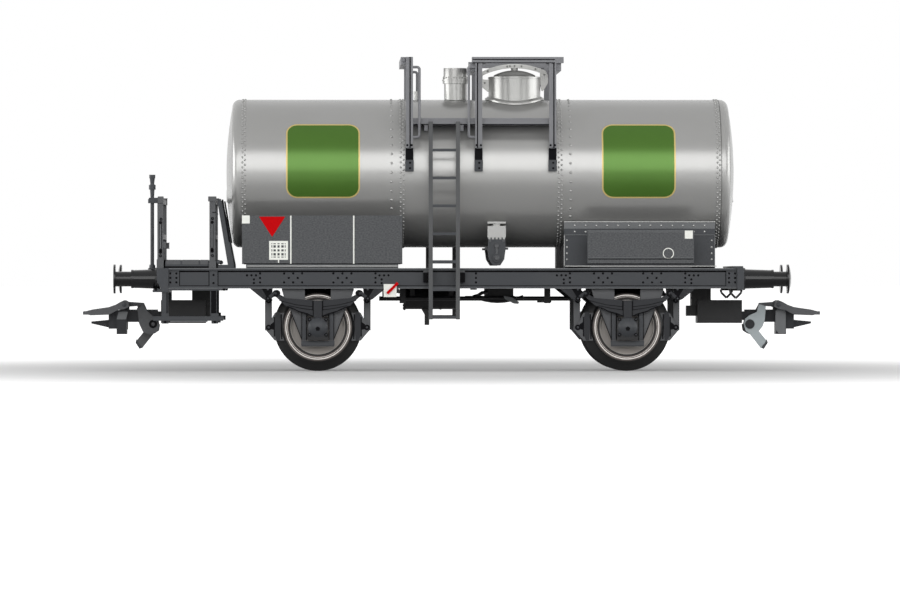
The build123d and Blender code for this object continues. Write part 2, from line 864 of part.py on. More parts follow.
with BuildPart() as ladder_far:
    mirror(ladder_near.part, about=Plane.XZ)
ladder_far.part.label = "ladder_far"
export_step(ladder_far.part, "parts/ladder_far.step")

# Channel-shaped side sills with end plates and a strap under the platform's rear post
for node, side in (("sill_near", -1), ("sill_far", 1)):
    with BuildPart() as sill:
        block((-sill_end, sill_end), (sill_inner, sill_outer), (sill_bottom, sill_top))
        block(
            (-sill_end, sill_end),
            (web_face, sill_outer),
            (sill_bottom + sill_flange, sill_top - sill_flange),
            mode=Mode.SUBTRACT,
        )
        raised_spans = (
            (-sill_end, -sill_end + end_plate_length),
            (sill_end - end_plate_length, sill_end),
            (rear_post_x - strap_width / 2, rear_post_x + strap_width / 2),
        )
        for span in raised_spans:
            block(
                span,
                (web_face, web_face + end_plate_thickness),
                (sill_bottom + sill_flange, sill_top - sill_flange),
            )
    with BuildPart() as sill_placed:
        add(sill.part if side > 0 else mirror(sill.part, about=Plane.XZ, mode=Mode.PRIVATE))
    sill_placed.part.label = node
    export_step(sill_placed.part, f"parts/{node}.step")

# Left headstock with a chamfered foot and a thin lip
with BuildPart() as headstock_left:
    plate(
        (
            (-sill_end, headstock_bottom),
            (left_face + headstock_chamfer, headstock_bottom),
            (left_face, headstock_bottom + 2 * headstock_chamfer),
            (left_face, sill_top),
            (-sill_end, sill_top),
        ),
        (-headstock_outer, headstock_outer),
    )
    block(
        (left_face - headstock_lip, -sill_end),
        (-headstock_outer, headstock_outer),
        (headstock_bottom - headstock_lip_thickness, headstock_bottom),
    )
headstock_left.part.label = "headstock_left"
export_step(headstock_left.part, "parts/headstock_left.step")

# Right headstock
with BuildPart() as headstock_right:
    block((sill_end, right_face), (-headstock_outer, headstock_outer), (headstock_bottom, sill_top))
    cap_right = right_face - headstock_cap_inset
    block(
        (cap_right - headstock_cap_length, cap_right),
        (-headstock_outer, headstock_outer),
        (sill_top, sill_top + headstock_cap_height),
    )
headstock_right.part.label = "headstock_right"
export_step(headstock_right.part, "parts/headstock_right.step")

# Deck, cross beams and spine between the sills
with BuildPart() as underframe:
    block((-sill_end, sill_end), (-sill_inner, sill_inner), (deck_bottom, sill_top))
    for _, axle_x in axle_places:
        for reach in (-cross_beam_reach, cross_beam_reach):
            beam_x = axle_x + reach
            block(
                (beam_x - cross_beam_width / 2, beam_x + cross_beam_width / 2),
                (-sill_inner, sill_inner),
                (deck_bottom - cross_beam_height, deck_bottom),
            )
    block(
        (-sill_end + spine_inset, sill_end - spine_inset),
        (-spine_width / 2, spine_width / 2),
        (deck_bottom - spine_height, deck_bottom),
    )
underframe.part.label = "underframe"
export_step(underframe.part, "parts/underframe.step")

# Axle guards with their horn gap, guides and keep bar, one on each side of an axle
guard_outer = sill_inner
for end, axle_x in axle_places:
    with BuildPart() as guards:
        right_edge = (
            (guard_foot_half, -guard_foot_drop),
            (guard_shoulder_half, guard_shoulder_rise),
            (guard_waist_half, guard_waist_rise),
            (guard_top_half, sill_rise),
            (guard_top_half, deck_bottom - axle_z),
        )
        left_edge = tuple((-x, z) for x, z in reversed(right_edge))
        outline = around(axle_x, axle_z, right_edge + left_edge)
        plate(outline, (-guard_outer, -guard_inner))
        block(
            (axle_x - guard_window_half, axle_x + guard_window_half),
            (-guard_outer, -guard_inner),
            (axle_z + guard_window_rise, sill_bottom),
            mode=Mode.SUBTRACT,
        )
        block(
            (axle_x - horn_half, axle_x + horn_half),
            (-guard_outer, -guard_inner),
            (axle_z - guard_foot_drop, axle_z + horn_rise),
            mode=Mode.SUBTRACT,
        )
        for side in (-1, 1):
            guide = sorted((axle_x + side * horn_half, axle_x + side * (horn_half + guide_width)))
            block(
                guide,
                (-guard_outer - guide_thickness, -guard_inner),
                (axle_z - guard_foot_drop, axle_z + guide_rise),
            )
        block(
            (axle_x - horn_half - guide_width, axle_x + horn_half + guide_width),
            (-guard_inner - keep_thickness, -guard_inner),
            (axle_z - guard_foot_drop - keep_height, axle_z - guard_foot_drop),
        )
        mirror(about=Plane.XZ)
    guards.part.label = f"axle_guards_{end}"
    export_step(guards.part, f"parts/axle_guards_{end}.step")

# Axle boxes with a domed cap and a blind bore for the journal
journal_end = wheel_face + journal_length
box_front = sill_outer - box_front_inset
box_back = guard_inner - box_back_reach
cap_out, cap_up = crown_middle(box_cap_radius, box_cap_length)
with BuildPart() as axle_boxes:
    for _, axle_x in axle_places:
        block(
            (axle_x - box_half, axle_x + box_half),
            (-box_front, -box_back),
            (axle_z - box_drop, axle_z + box_rise),
        )
        with BuildSketch(Plane.XY.offset(axle_z)):
            with BuildLine():
                Line((axle_x, -box_front), (axle_x + box_cap_radius, -box_front))
                ThreePointArc(
                    (axle_x + box_cap_radius, -box_front),
                    (axle_x + cap_out, -box_front - cap_up),
                    (axle_x, -box_front - box_cap_length),
                )
                Line((axle_x, -box_front - box_cap_length), (axle_x, -box_front))
            make_face()
        revolve(axis=Axis((axle_x, 0, axle_z), (0, 1, 0)))
        rod(
            (axle_x, -box_back, axle_z),
            (axle_x, -journal_end - swing_gap, axle_z),
            journal_radius + running_gap,
            mode=Mode.SUBTRACT,
        )
    mirror(about=Plane.XZ)
axle_boxes.part.label = "axle_boxes"
export_step(axle_boxes.part, "parts/axle_boxes.step")

# Leaf springs with buckle, eyes, shackles and brackets under the sills
spring_front = sill_outer - spring_inset
spring_y = (-spring_front, -spring_front + spring_width)
with BuildPart() as springs:
    for _, axle_x in axle_places:
        right_leaf = (
            (buckle_half, spring_low_rise),
            (spring_mid_half, spring_mid_low_rise),
            (spring_eye_half, spring_eye_rise - spring_eye_radius),
            (spring_eye_half, spring_eye_rise),
            (spring_mid_half, spring_mid_top_rise),
            (buckle_half, spring_top_rise),
        )
        left_leaf = tuple((-x, z) for x, z in reversed(right_leaf))
        plate(around(axle_x, axle_z, right_leaf + left_leaf), spring_y)
        block(
            (axle_x - buckle_half, axle_x + buckle_half),
            (spring_y[0] - buckle_stand, spring_y[1]),
            (axle_z + box_rise, axle_z + spring_top_rise),
        )
        for side in (-1, 1):
            eye = (axle_x + side * spring_eye_half, axle_z + spring_eye_rise)
            rod((eye[0], spring_y[0], eye[1]), (eye[0], spring_y[1], eye[1]), spring_eye_radius)
            shackle = (
                (spring_eye_half, spring_eye_rise - shackle_thickness / 2),
                (shackle_half, shackle_rise - shackle_thickness / 2),
                (shackle_half, shackle_rise + shackle_thickness / 2),
                (spring_eye_half, spring_eye_rise + shackle_thickness / 2),
            )
            plate(around(axle_x, axle_z, [(side * x, z) for x, z in shackle]), spring_y)
            bracket = (
                (bracket_outer_half, sill_rise),
                (bracket_inner_half, sill_rise),
                (shackle_half - shackle_thickness, shackle_rise),
                (shackle_half, shackle_rise - shackle_thickness / 2),
                (bracket_tip_half, shackle_rise),
            )
            plate(around(axle_x, axle_z, [(side * x, z) for x, z in bracket]), spring_y)
    mirror(about=Plane.XZ)
springs.part.label = "springs"
export_step(springs.part, "parts/springs.step")

# Brake blocks on their hangers, two to each wheel
shoe_inner = wheel_back + flange_thickness + flange_crest
shoe_outer = wheel_face - shoe_inset
shoe_root = tread_radius * shoe_root_share
hanger_y = -(shoe_inner + shoe_outer) / 2
for end, axle_x in axle_places:
    with BuildPart() as brakes:
        for side in (-1, 1):
            shoe = (
                (shoe_root, shoe_rise),
                (tread_radius + shoe_back_stand, shoe_rise),
                (tread_radius + shoe_bulge_stand, shoe_bulge_rise),
                (tread_radius + shoe_tail_stand, -shoe_tail_drop),
                (tread_radius + shoe_back_stand, -shoe_drop),
                (shoe_root, -shoe_drop),
            )
            plate(around(axle_x, axle_z, [(side * x, z) for x, z in shoe]), (-shoe_outer, -shoe_inner))
        rod(
            (axle_x, -shoe_outer - overrun, axle_z),
            (axle_x, -shoe_inner + overrun, axle_z),
            tread_radius + shoe_gap,
            mode=Mode.SUBTRACT,
        )
        for side in (-1, 1):
            hanger_x = axle_x + side * (tread_radius + hanger_stand)
            block(
                (hanger_x - hanger_width / 2, hanger_x + hanger_width / 2),
                (hanger_y - hanger_thickness / 2, hanger_y + hanger_thickness / 2),
                (axle_z - hanger_foot_drop, deck_bottom),
            )
        mirror(about=Plane.XZ)
    brakes.part.label = f"brakes_{end}"
    export_step(brakes.part, f"parts/brakes_{end}.step")

# Brake cylinder with its arm, relay with its lever, and rod, under the spine
beam_bay = right_beam_x - left_beam_x
cylinder_x = left_beam_x + cylinder_share * beam_bay
relay_x = left_beam_x + relay_share * beam_bay
spine_bottom = deck_bottom - spine_height
cylinder_z = spine_bottom - cylinder_drop
rod_y = -brake_rod_out
with BuildPart() as brake_rigging:
    cylinder_ends = (cylinder_x - cylinder_length / 2, cylinder_x + cylinder_length / 2)
    rod((cylinder_ends[0], 0, cylinder_z), (cylinder_ends[1], 0, cylinder_z), cylinder_radius)
    for x in (cylinder_ends[0] + cylinder_strap_inset, cylinder_ends[1] - cylinder_strap_inset):
        block(
            (x - cylinder_strap_width / 2, x + cylinder_strap_width / 2),
            (-cylinder_radius, cylinder_radius),
            (cylinder_z, spine_bottom),
        )
    right_arm = (
        (arm_top_half, 0),
        (arm_top_half, -cylinder_radius),
        (arm_half, -arm_neck_drop),
        (arm_half, -arm_drop),
    )
    left_arm = tuple((-x, z) for x, z in reversed(right_arm))
    plate(
        around(cylinder_x + arm_offset, cylinder_z, right_arm + left_arm),
        (-arm_thickness / 2, arm_thickness / 2),
    )
    relay_low = spine_bottom - relay_height
    block(
        (relay_x - relay_length / 2, relay_x + relay_length / 2),
        (-relay_width / 2, relay_width / 2),
        (relay_low, spine_bottom),
    )
    relay_lever_x = relay_x + relay_lever_offset
    block(
        (relay_lever_x - relay_lever_length / 2, relay_lever_x + relay_lever_length / 2),
        (-relay_lever_thickness / 2, relay_lever_thickness / 2),
        (relay_low - relay_lever_height, relay_low),
    )
    rod_ends = (left_beam_x - rod_left_stand, right_beam_x + rod_right_stand)
    rod((rod_ends[0], rod_y, cylinder_z), (rod_ends[1], rod_y, cylinder_z), brake_rod_radius)
    for x in (left_beam_x + rod_left_bracket, right_beam_x - rod_right_bracket):
        block(
            (x - rod_bracket_width / 2, x + rod_bracket_width / 2),
            (rod_y - brake_rod_radius, rod_y + brake_rod_radius),
            (cylinder_z - rod_bracket_foot, deck_bottom),
        )
brake_rigging.part.label = "brake_rigging"
export_step(brake_rigging.part, "parts/brake_rigging.step")

# Brake change plates on the sills
release_plate_x = left_beam_x + release_plate_offset
plate_span = (release_plate_x - release_plate_width / 2, release_plate_x + release_plate_width / 2)
release_low = sill_bottom + release_plate_lap - release_plate_height
release_face = sill_outer + release_plate_thickness
with BuildPart() as release_plates:
    block(plate_span, (-release_face, -sill_outer), (release_low, release_low + release_plate_height))
    mirror(about=Plane.XZ)
release_plates.part.label = "release_plates"
export_step(release_plates.part, "parts/release_plates.step")

# Levers on the brake change plates
lever_origin = (
    release_plate_x + release_lever_offset,
    -release_face - release_lever_thickness / 2,
    release_low + release_plate_height / 2 + release_lever_offset,
)
lever_plane = Plane(
    origin=lever_origin, x_dir=(release_plate_width, 0, release_plate_height), z_dir=(0, -1, 0)
)
with BuildPart() as release_levers:
    with Locations(lever_plane):
        Box(release_lever_length, release_lever_width, release_lever_thickness)
    mirror(about=Plane.XZ)
release_levers.part.label = "release_levers"
export_step(release_levers.part, "parts/release_levers.step")

# Platform floor
with BuildPart() as platform_floor:
    platform_half = sill_outer - platform_inset
    block(
        (
            front_post_x + front_post_width / 2 + platform_gap,
            rear_post_x - rear_post_width / 2 - platform_gap,
        ),
        (-platform_half, platform_half),
        (sill_top, sill_top + platform_floor_thickness),
    )
platform_floor.part.label = "platform_floor"
export_step(platform_floor.part, "parts/platform_floor.step")

# Platform posts, two at the headstock and two in front of the tank
platform_post_top = sill_top + platform_post_height
platform_post_y = (-sill_outer, -sill_outer + platform_post_depth)
platform_post_table = (  # middle, width
    (front_post_x, front_post_width),
    (rear_post_x, rear_post_width),
)
with BuildPart() as platform_posts:
    for middle, width in platform_post_table:
        block((middle - width / 2, middle + width / 2), platform_post_y, (sill_top, platform_post_top))
        block(
            (
                middle - width / 2 - platform_post_cap_stand,
                middle + width / 2 + platform_post_cap_stand,
            ),
            (platform_post_y[0] - platform_post_cap_stand, platform_post_y[1]),
            (platform_post_top, platform_post_top + platform_post_cap),
        )
    mirror(about=Plane.XZ)
platform_posts.part.label = "platform_posts"
export_step(platform_posts.part, "parts/platform_posts.step")

# Rails across the platform, between its posts
with BuildPart() as platform_rails:
    for middle, _ in platform_post_table:
        for top in (platform_post_top, sill_top + platform_mid_rail_rise):
            block(
                (middle - platform_rail_thickness / 2, middle + platform_rail_thickness / 2),
                (platform_post_y[1], -platform_post_y[1]),
                (top - platform_rail_height, top),
            )
platform_rails.part.label = "platform_rails"
export_step(platform_rails.part, "parts/platform_rails.step")

# Slanting braces behind the rear posts
brace_left = rear_post_x + rear_post_width / 2
with BuildPart() as platform_braces:
    plate(
        (
            (brace_left, platform_post_top),
            (brace_left, platform_post_top - brace_width),
            (brace_left + brace_run - brace_width, sill_top + brace_foot_height),
            (brace_left, sill_top + brace_foot_height),
            (brace_left, sill_top),
            (brace_left + brace_run, sill_top),
            (brace_left + brace_run, sill_top + brace_foot_height),
            (brace_left + brace_width / 2, platform_post_top),
        ),
        (platform_post_y[1] - brace_thickness, platform_post_y[1]),
    )
    mirror(about=Plane.XZ)
platform_braces.part.label = "platform_braces"
export_step(platform_braces.part, "parts/platform_braces.step")

# Hand brake spindle with its handle and bearings, at the left headstock
crank_x = left_face - crank_reach
crank_top = sill_top + crank_rise
with BuildPart() as brake_spindle:
    crank_foot = sill_top - crank_bearing_height
    rod((crank_x, -crank_out, crank_foot), (crank_x, -crank_out, crank_top), crank_radius)
    collar_top = crank_top - crank_collar_drop
    rod(
        (crank_x, -crank_out, collar_top - crank_collar_height),
        (crank_x, -crank_out, collar_top),
        crank_collar_radius,
    )
    rod(
        (crank_x, -crank_out, crank_top - crank_grip_height),
        (crank_x, -crank_out, crank_top),
        crank_grip_radius,
    )
    block(
        (crank_x - crank_bearing_width / 2, left_face),
        (-crank_out - crank_bearing_width / 2, -crank_out + crank_bearing_width / 2),
        (sill_top - crank_bearing_height, sill_top),
    )
    block(
        (crank_x - crank_bearing_width / 2, front_post_x - platform_rail_thickness / 2),
        (-crank_out - crank_bearing_width / 2, -crank_out + crank_bearing_width / 2),
        (platform_post_top - crank_bearing_height, platform_post_top),
    )
brake_spindle.part.label = "brake_spindle"
export_step(brake_spindle.part, "parts/brake_spindle.step")

# Steps under the platform, one on each side
step_top = sill_bottom - step_drop
step_front = sill_outer + step_front_stand
step_hanger_table = (  # middle, top
    (-sill_end - step_hanger_width / 2, headstock_bottom - headstock_lip_thickness),
    (rear_post_x, sill_bottom),
)
with BuildPart() as steps:
    block(
        (-sill_end - step_stand, -sill_end + step_reach),
        (-step_front, -step_front + step_depth),
        (step_top - step_thickness, step_top),
    )
    for middle, top in step_hanger_table:
        block(
            (middle - step_hanger_width / 2, middle + step_hanger_width / 2),
            (-sill_outer, -sill_outer + step_hanger_thickness),
            (step_top, top),
        )
    mirror(about=Plane.XZ)
steps.part.label = "steps"
export_step(steps.part, "parts/steps.step")

# Buffer sleeves on both headstocks
buffer_table = (  # direction, headstock's face
    (-1, left_face),
    (1, right_face),
)
with BuildPart() as buffer_sleeves:
    for direction, face in buffer_table:
        sleeve_end = direction * (sill_end + sleeve_stand)
        with BuildSketch(Plane.XY.offset(buffer_z)):
            with BuildLine():
                Polyline(
                    (face, -buffer_y),
                    (face, -buffer_y - sleeve_base_radius),
                    (sleeve_end, -buffer_y - sleeve_radius),
                    (sleeve_end, -buffer_y),
                    close=True,
                )
            make_face()
        revolve(axis=Axis((0, -buffer_y, buffer_z), (1, 0, 0)))
    mirror(about=Plane.XZ)
buffer_sleeves.part.label = "buffer_sleeves"
export_step(buffer_sleeves.part, "parts/buffer_sleeves.step")

# Buffer plungers and heads: of each pair one head is flat and one is domed
head_table = (  # direction, side, dome's height
    (-1, -1, 0),
    (-1, 1, buffer_dome),
    (1, 1, 0),
    (1, -1, buffer_dome),
)
buffer_reach = sill_end + buffer_stand
rim_out, rim_up = crown_middle(buffer_head_radius, buffer_dome)
with BuildPart() as buffer_heads:
    for direction, side, rise in head_table:
        sleeve_end = direction * (sill_end + sleeve_stand)
        rim = direction * (buffer_reach - rise)
        back = direction * (buffer_reach - rise - buffer_head_thickness)
        middle_y = side * buffer_y
        with BuildSketch(Plane.XY.offset(buffer_z)):
            with BuildLine():
                Polyline(
                    (rim, middle_y + buffer_head_radius),
                    (back, middle_y + buffer_head_radius),
                    (back, middle_y + plunger_radius),
                    (sleeve_end, middle_y + plunger_radius),
                    (sleeve_end, middle_y),
                    (direction * buffer_reach, middle_y),
                )
                if rise:
                    ThreePointArc(
                        (direction * buffer_reach, middle_y),
                        (direction * (buffer_reach - rise + rim_up), middle_y + rim_out),
                        (rim, middle_y + buffer_head_radius),
                    )
                else:
                    Line((direction * buffer_reach, middle_y), (rim, middle_y + buffer_head_radius))
            make_face()
        revolve(axis=Axis((0, middle_y, buffer_z), (1, 0, 0)))
buffer_heads.part.label = "buffer_heads"
export_step(buffer_heads.part, "parts/buffer_heads.step")

# Rope eyes under the right corners
rope_eye_x = sill_end - rope_eye_inset
rope_eye_y = (sill_inner + sill_outer) / 2
with BuildPart() as rope_eyes:
    tip = (rope_eye_x, -rope_eye_y, sill_bottom - rope_eye_depth)
    for side in (-1, 1):
        foot = (tip[0] + side * rope_eye_half, -rope_eye_y, sill_bottom)
        rod(foot, tip, rope_eye_radius)
    with Locations(tip):
        Sphere(rope_eye_radius)
    for span, low in (((-sill_end, sill_end), sill_bottom), ((sill_end, right_face), headstock_bottom)):
        block(span, (-sill_outer, -sill_inner), (low, sill_top), mode=Mode.SUBTRACT)
    mirror(about=Plane.XZ)
rope_eyes.part.label = "rope_eyes"
export_step(rope_eyes.part, "parts/rope_eyes.step")

# Wheel profile, turned about the axle: tyre with flange, then the centre
disc_middle = wheel_back + wheel_width / 2
for end, axle_x in axle_places:
    axle_line = Axis((axle_x, 0, axle_z), (0, 1, 0))
    with BuildPart() as tyres:
        with BuildSketch(Plane.XY.offset(axle_z)):
            with BuildLine():
                Polyline(
                    (axle_x + tyre_bore, wheel_back),
                    (axle_x + flange_radius - flange_crest, wheel_back),
                    (axle_x + flange_radius, wheel_back + flange_crest),
                    (axle_x + tread_radius + flange_crest, wheel_back + flange_thickness),
                    (axle_x + tread_radius, wheel_back + flange_thickness + flange_crest),
                    (axle_x + tread_radius, wheel_face - tyre_groove_depth),
                    (axle_x + tread_radius - tyre_groove_depth, wheel_face),
                    (axle_x + tyre_bore, wheel_face),
                    close=True,
                )
            make_face()
        revolve(axis=axle_line)
        mirror(about=Plane.XZ)
    tyres.part.label = f"{end}_tyres"
    export_step(tyres.part, f"parts/{end}_tyres.step")

    with BuildPart() as centres:
        with BuildSketch(Plane.XY.offset(axle_z)):
            with BuildLine():
                Polyline(
                    (axle_x + axle_radius, disc_middle - hub_length / 2),
                    (axle_x + hub_radius, disc_middle - hub_length / 2),
                    (axle_x + hub_radius, disc_middle - disc_thickness / 2),
                    (axle_x + rim_radius, disc_middle - disc_thickness / 2),
                    (axle_x + rim_radius, wheel_back + tyre_groove_depth),
                    (axle_x + tyre_bore, wheel_back + tyre_groove_depth),
                    (axle_x + tyre_bore, wheel_face - tyre_groove_depth),
                    (axle_x + rim_radius, wheel_face - tyre_groove_depth),
                    (axle_x + rim_radius, disc_middle + disc_thickness / 2),
                    (axle_x + hub_radius, disc_middle + disc_thickness / 2),
                    (axle_x + hub_radius, disc_middle + hub_length / 2),
                    (axle_x + axle_radius, disc_middle + hub_length / 2),
                    close=True,
                )
            make_face()
        revolve(axis=axle_line)
        mirror(about=Plane.XZ)
    centres.part.label = f"{end}_wheel_centres"
    export_step(centres.part, f"parts/{end}_wheel_centres.step")

    with BuildPart() as axle:
        rod((axle_x, -wheel_face, axle_z), (axle_x, wheel_face, axle_z), axle_radius)
        rod((axle_x, -journal_end, axle_z), (axle_x, journal_end, axle_z), journal_radius)
    axle.part.label = f"{end}_axle"
    export_step(axle.part, f"parts/{end}_axle.step")

# Coupler pocket under the frame, open at its mouth, with the pin that the coupler swings on
pivot_x = sill_end - pivot_inset
pocket_left = pivot_x - pocket_back
pocket_right = pivot_x + pocket_front
pocket_bottom = coupler_height - pocket_drop
pocket_top = coupler_height + pocket_rise
riser_left = sill_end - riser_to_end
cavity_z = tail_thickness / 2 + tail_clearance
with BuildPart() as pocket:
    block((pocket_left, pocket_right), (-pocket_half, pocket_half), (pocket_bottom, pocket_top))
    block(
        (pocket_left + pocket_back_wall, pocket_right),
        (-pocket_half + pocket_wall, pocket_half - pocket_wall),
        (coupler_height - cavity_z, coupler_height + cavity_z),
        mode=Mode.SUBTRACT,
    )
    rod((pivot_x, 0, pocket_bottom), (pivot_x, 0, pocket_top), pivot_radius)
    tail_span_z = (coupler_height - pocket_tail_drop, coupler_height + pocket_tail_rise)
    block(
        (pivot_x - pocket_tail_back, pocket_left),
        (-pocket_tail_half, pocket_tail_half),
        tail_span_z,
    )
    block((riser_left, pivot_x + riser_front), (-riser_half, riser_half), (pocket_top, deck_bottom))
    block((riser_left, pocket_left), (-riser_half, riser_half), (tail_span_z[1], pocket_top))

# Coupler head with its shaft, pivot eye, nose, prong and the ears for the lever and the loop
head_left = pivot_x + head_start
head_right = head_left + head_length
nose_right = head_right + nose_length
prong_tip = nose_right + prong_length
head_top = coupler_height + head_rise
hinge_x = pivot_x + hinge_reach
hinge_z = coupler_height + hinge_rise
lever_x = pivot_x + lever_reach
lever_z = coupler_height - lever_drop
with BuildPart() as coupler_head:
    tail_z = (coupler_height - tail_thickness / 2, coupler_height + tail_thickness / 2)
    shaft_left = pivot_x + shaft_start
    block((pivot_x, shaft_left), (-tail_half, tail_half), tail_z)
    rod((pivot_x, 0, tail_z[0]), (pivot_x, 0, tail_z[1]), tail_eye_radius)
    rod((pivot_x, 0, tail_z[0]), (pivot_x, 0, tail_z[1]), pivot_radius + running_gap, mode=Mode.SUBTRACT)
    block(
        (shaft_left, head_left),
        (-shaft_half, shaft_half),
        (coupler_height - shaft_height / 2, coupler_height + shaft_height / 2),
    )
    ear_outline = from_shares(lever_x, lever_z, lever_width, lever_height, ear_shares)
    plate(ear_outline, (shaft_half, shaft_half + ear_thickness))
    pin_end = -lever_inner - lever_thickness - running_gap
    pin_start = (lever_x, shaft_half + ear_thickness / 2, lever_z)
    rod(pin_start, (lever_x, pin_end, lever_z), lever_pin_radius)
    rod(
        (lever_x, pin_end, lever_z),
        (lever_x, pin_end - lever_pin_head_thickness, lever_z),
        lever_pin_head_radius,
    )
    block((head_left, head_right), (-head_half, head_half), (coupler_height - head_drop, head_top))
    block((head_right, nose_right), (-nose_half, nose_half), (coupler_height - nose_drop, head_top))
    prong_tip_z = coupler_height - prong_tip_drop
    plate(
        (
            (nose_right, coupler_height - prong_root_drop),
            (prong_tip, prong_tip_z),
            (prong_tip, prong_tip_z + prong_tip_height),
            (nose_right, coupler_height - prong_root_rise),
        ),
        (-prong_half, prong_half),
    )
    block(
        (hinge_x - hinge_boss_radius, hinge_x + hinge_boss_radius),
        (-hinge_boss_half, hinge_boss_half),
        (coupler_height, hinge_z),
    )
    rod((hinge_x, -hinge_boss_half, hinge_z), (hinge_x, hinge_boss_half, hinge_z), hinge_boss_radius)
    rod(
        (hinge_x, -hinge_boss_half, hinge_z),
        (hinge_x, hinge_boss_half, hinge_z),
        hinge_pin_radius + running_gap,
        mode=Mode.SUBTRACT,
    )

# Coupling loop on its hinge pin, with the link that the lever pulls
with BuildPart() as coupler_loop:
    rod((hinge_x, -loop_outer, hinge_z), (hinge_x, loop_outer, hinge_z), hinge_pin_radius)
    arm_outline = from_shares(hinge_x, hinge_z, loop_reach, loop_height, loop_arm_shares)
    for side in (-1, 1):
        rod(
            (hinge_x, side * (hinge_boss_half + swing_gap), hinge_z),
            (hinge_x, side * loop_outer, hinge_z),
            hinge_sleeve_radius,
        )
        arm_y = sorted((side * (loop_outer - loop_bar), side * loop_outer))
        plate(arm_outline, arm_y)
    loop_tip = hinge_x + loop_reach
    front_low = hinge_z - loop_front_drop
    block(
        (loop_tip - loop_front_bar, loop_tip),
        (-loop_outer, loop_outer),
        (front_low, front_low + loop_front_height),
    )
    link_outline = from_shares(hinge_x, hinge_z, tail_link_length, tail_link_height, tail_link_shares)
    plate(link_outline, (-tail_link_inner - tail_link_thickness, -tail_link_inner))

# Release lever with its foot
with BuildPart() as coupler_lever:
    lever_outline = from_shares(lever_x, lever_z, lever_width, lever_height, lever_shares)
    plate(lever_outline, (-lever_inner - lever_thickness, -lever_inner))
    rod(
        (lever_x, -lever_inner - lever_thickness, lever_z),
        (lever_x, -lever_inner, lever_z),
        lever_pin_radius + running_gap,
        mode=Mode.SUBTRACT,
    )

# The left coupler is the right one turned half round
coupler_pieces = (
    ("coupler_pocket", pocket.part),
    ("coupler_head", coupler_head.part),
    ("coupler_loop", coupler_loop.part),
    ("coupler_lever", coupler_lever.part),
)
for name, shape in coupler_pieces:
    for end, turn in (("right", 0), ("left", 180)):
        with BuildPart() as placed:
            add(shape, rotation=(0, 0, turn))
        placed.part.label = f"{end}_{name}"
        export_step(placed.part, f"parts/{end}_{name}.step")
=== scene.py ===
import math

import bmesh
import bpy
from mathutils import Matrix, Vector


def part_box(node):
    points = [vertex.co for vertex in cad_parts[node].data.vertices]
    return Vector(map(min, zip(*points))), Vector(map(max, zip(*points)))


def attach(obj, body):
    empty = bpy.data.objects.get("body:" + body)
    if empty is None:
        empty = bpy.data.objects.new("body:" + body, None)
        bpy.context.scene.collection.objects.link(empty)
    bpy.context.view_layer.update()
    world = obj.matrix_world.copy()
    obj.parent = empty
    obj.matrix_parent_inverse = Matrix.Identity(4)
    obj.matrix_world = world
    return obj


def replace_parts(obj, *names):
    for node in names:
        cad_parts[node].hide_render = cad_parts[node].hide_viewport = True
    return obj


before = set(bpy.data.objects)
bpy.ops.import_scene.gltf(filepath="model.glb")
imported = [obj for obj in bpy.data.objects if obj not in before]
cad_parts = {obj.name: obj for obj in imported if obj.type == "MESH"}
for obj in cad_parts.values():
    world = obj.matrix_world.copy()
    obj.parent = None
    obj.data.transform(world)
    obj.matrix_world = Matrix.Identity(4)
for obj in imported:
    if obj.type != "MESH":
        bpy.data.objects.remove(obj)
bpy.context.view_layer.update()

# Sizes and places are in millimetres, in the frame's own axes, and become metres at the last moment
MM = 0.001


def spans(node):
    """A node's lowest and highest place along X, Y and Z."""
    low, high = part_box(node)
    return [(low[axis] / MM, high[axis] / MM) for axis in range(3)]


def middle(span):
    return (span[0] + span[1]) / 2


# Places read from the frame
(TANK_LEFT, TANK_RIGHT), _, (TANK_LOW, TANK_TOP) = spans("tank_barrel")
TANK_RADIUS = (TANK_TOP - TANK_LOW) / 2
TANK_Z = middle((TANK_LOW, TANK_TOP))
(SILL_LEFT, SILL_RIGHT), (_, SILL_FACE), (SILL_LOW, SILL_TOP) = spans("sill_far")
SILL_WEB = SILL_FACE - 0.5
SILL_FLANGE = 0.35
AXLES = {end: middle(spans(f"{end}_axle")[0]) for end in ("left", "right")}
AXLE_Z = middle(spans("left_axle")[2])
BOX_FACE = SILL_FACE - 0.1
CAP_FACE = spans("axle_boxes")[1][1]
SPRING_FACE = SILL_FACE - 0.2
GUARD_FACE = spans("axle_guards_left")[1][1]
DOME_X = middle(spans("dome")[0])
DOME_TOP = spans("dome")[2][1]
VENT_X = middle(spans("vent_stack")[0])
(WALK_LEFT, WALK_RIGHT), (_, WALK_FACE), (_, WALK_TOP) = spans("walkway_far")
WALK_THICKNESS = 0.9
(POSTS_LEFT, POSTS_RIGHT), (_, POST_FACE), (CLIP_LOW, _) = spans("railing_posts")
(RAIL_LEFT, RAIL_RIGHT), _, (RAIL_LOW, RAIL_TOP) = spans("railing_rails")
POST_WIDTH = 1.03
POSTS = (  # middle, top
    (POSTS_LEFT + 0.6, RAIL_TOP),
    (RAIL_LEFT + 0.5 + POST_WIDTH / 2, RAIL_LOW),
    (POSTS_RIGHT - 0.6, RAIL_LOW),
)
CLIP_MIDDLE = CLIP_LOW + 1.65
CLIP_TOP = CLIP_MIDDLE + 1.75
LADDER_X = middle(spans("ladder_near")[0])
LADDER_FACE = spans("ladder_far")[1][1]
LADDER_LOW = spans("ladder_near")[2][0]
PLATFORM_X, (_, PLATFORM_FACE), PLATFORM_Z = spans("platform_floor")


# Mesh helpers


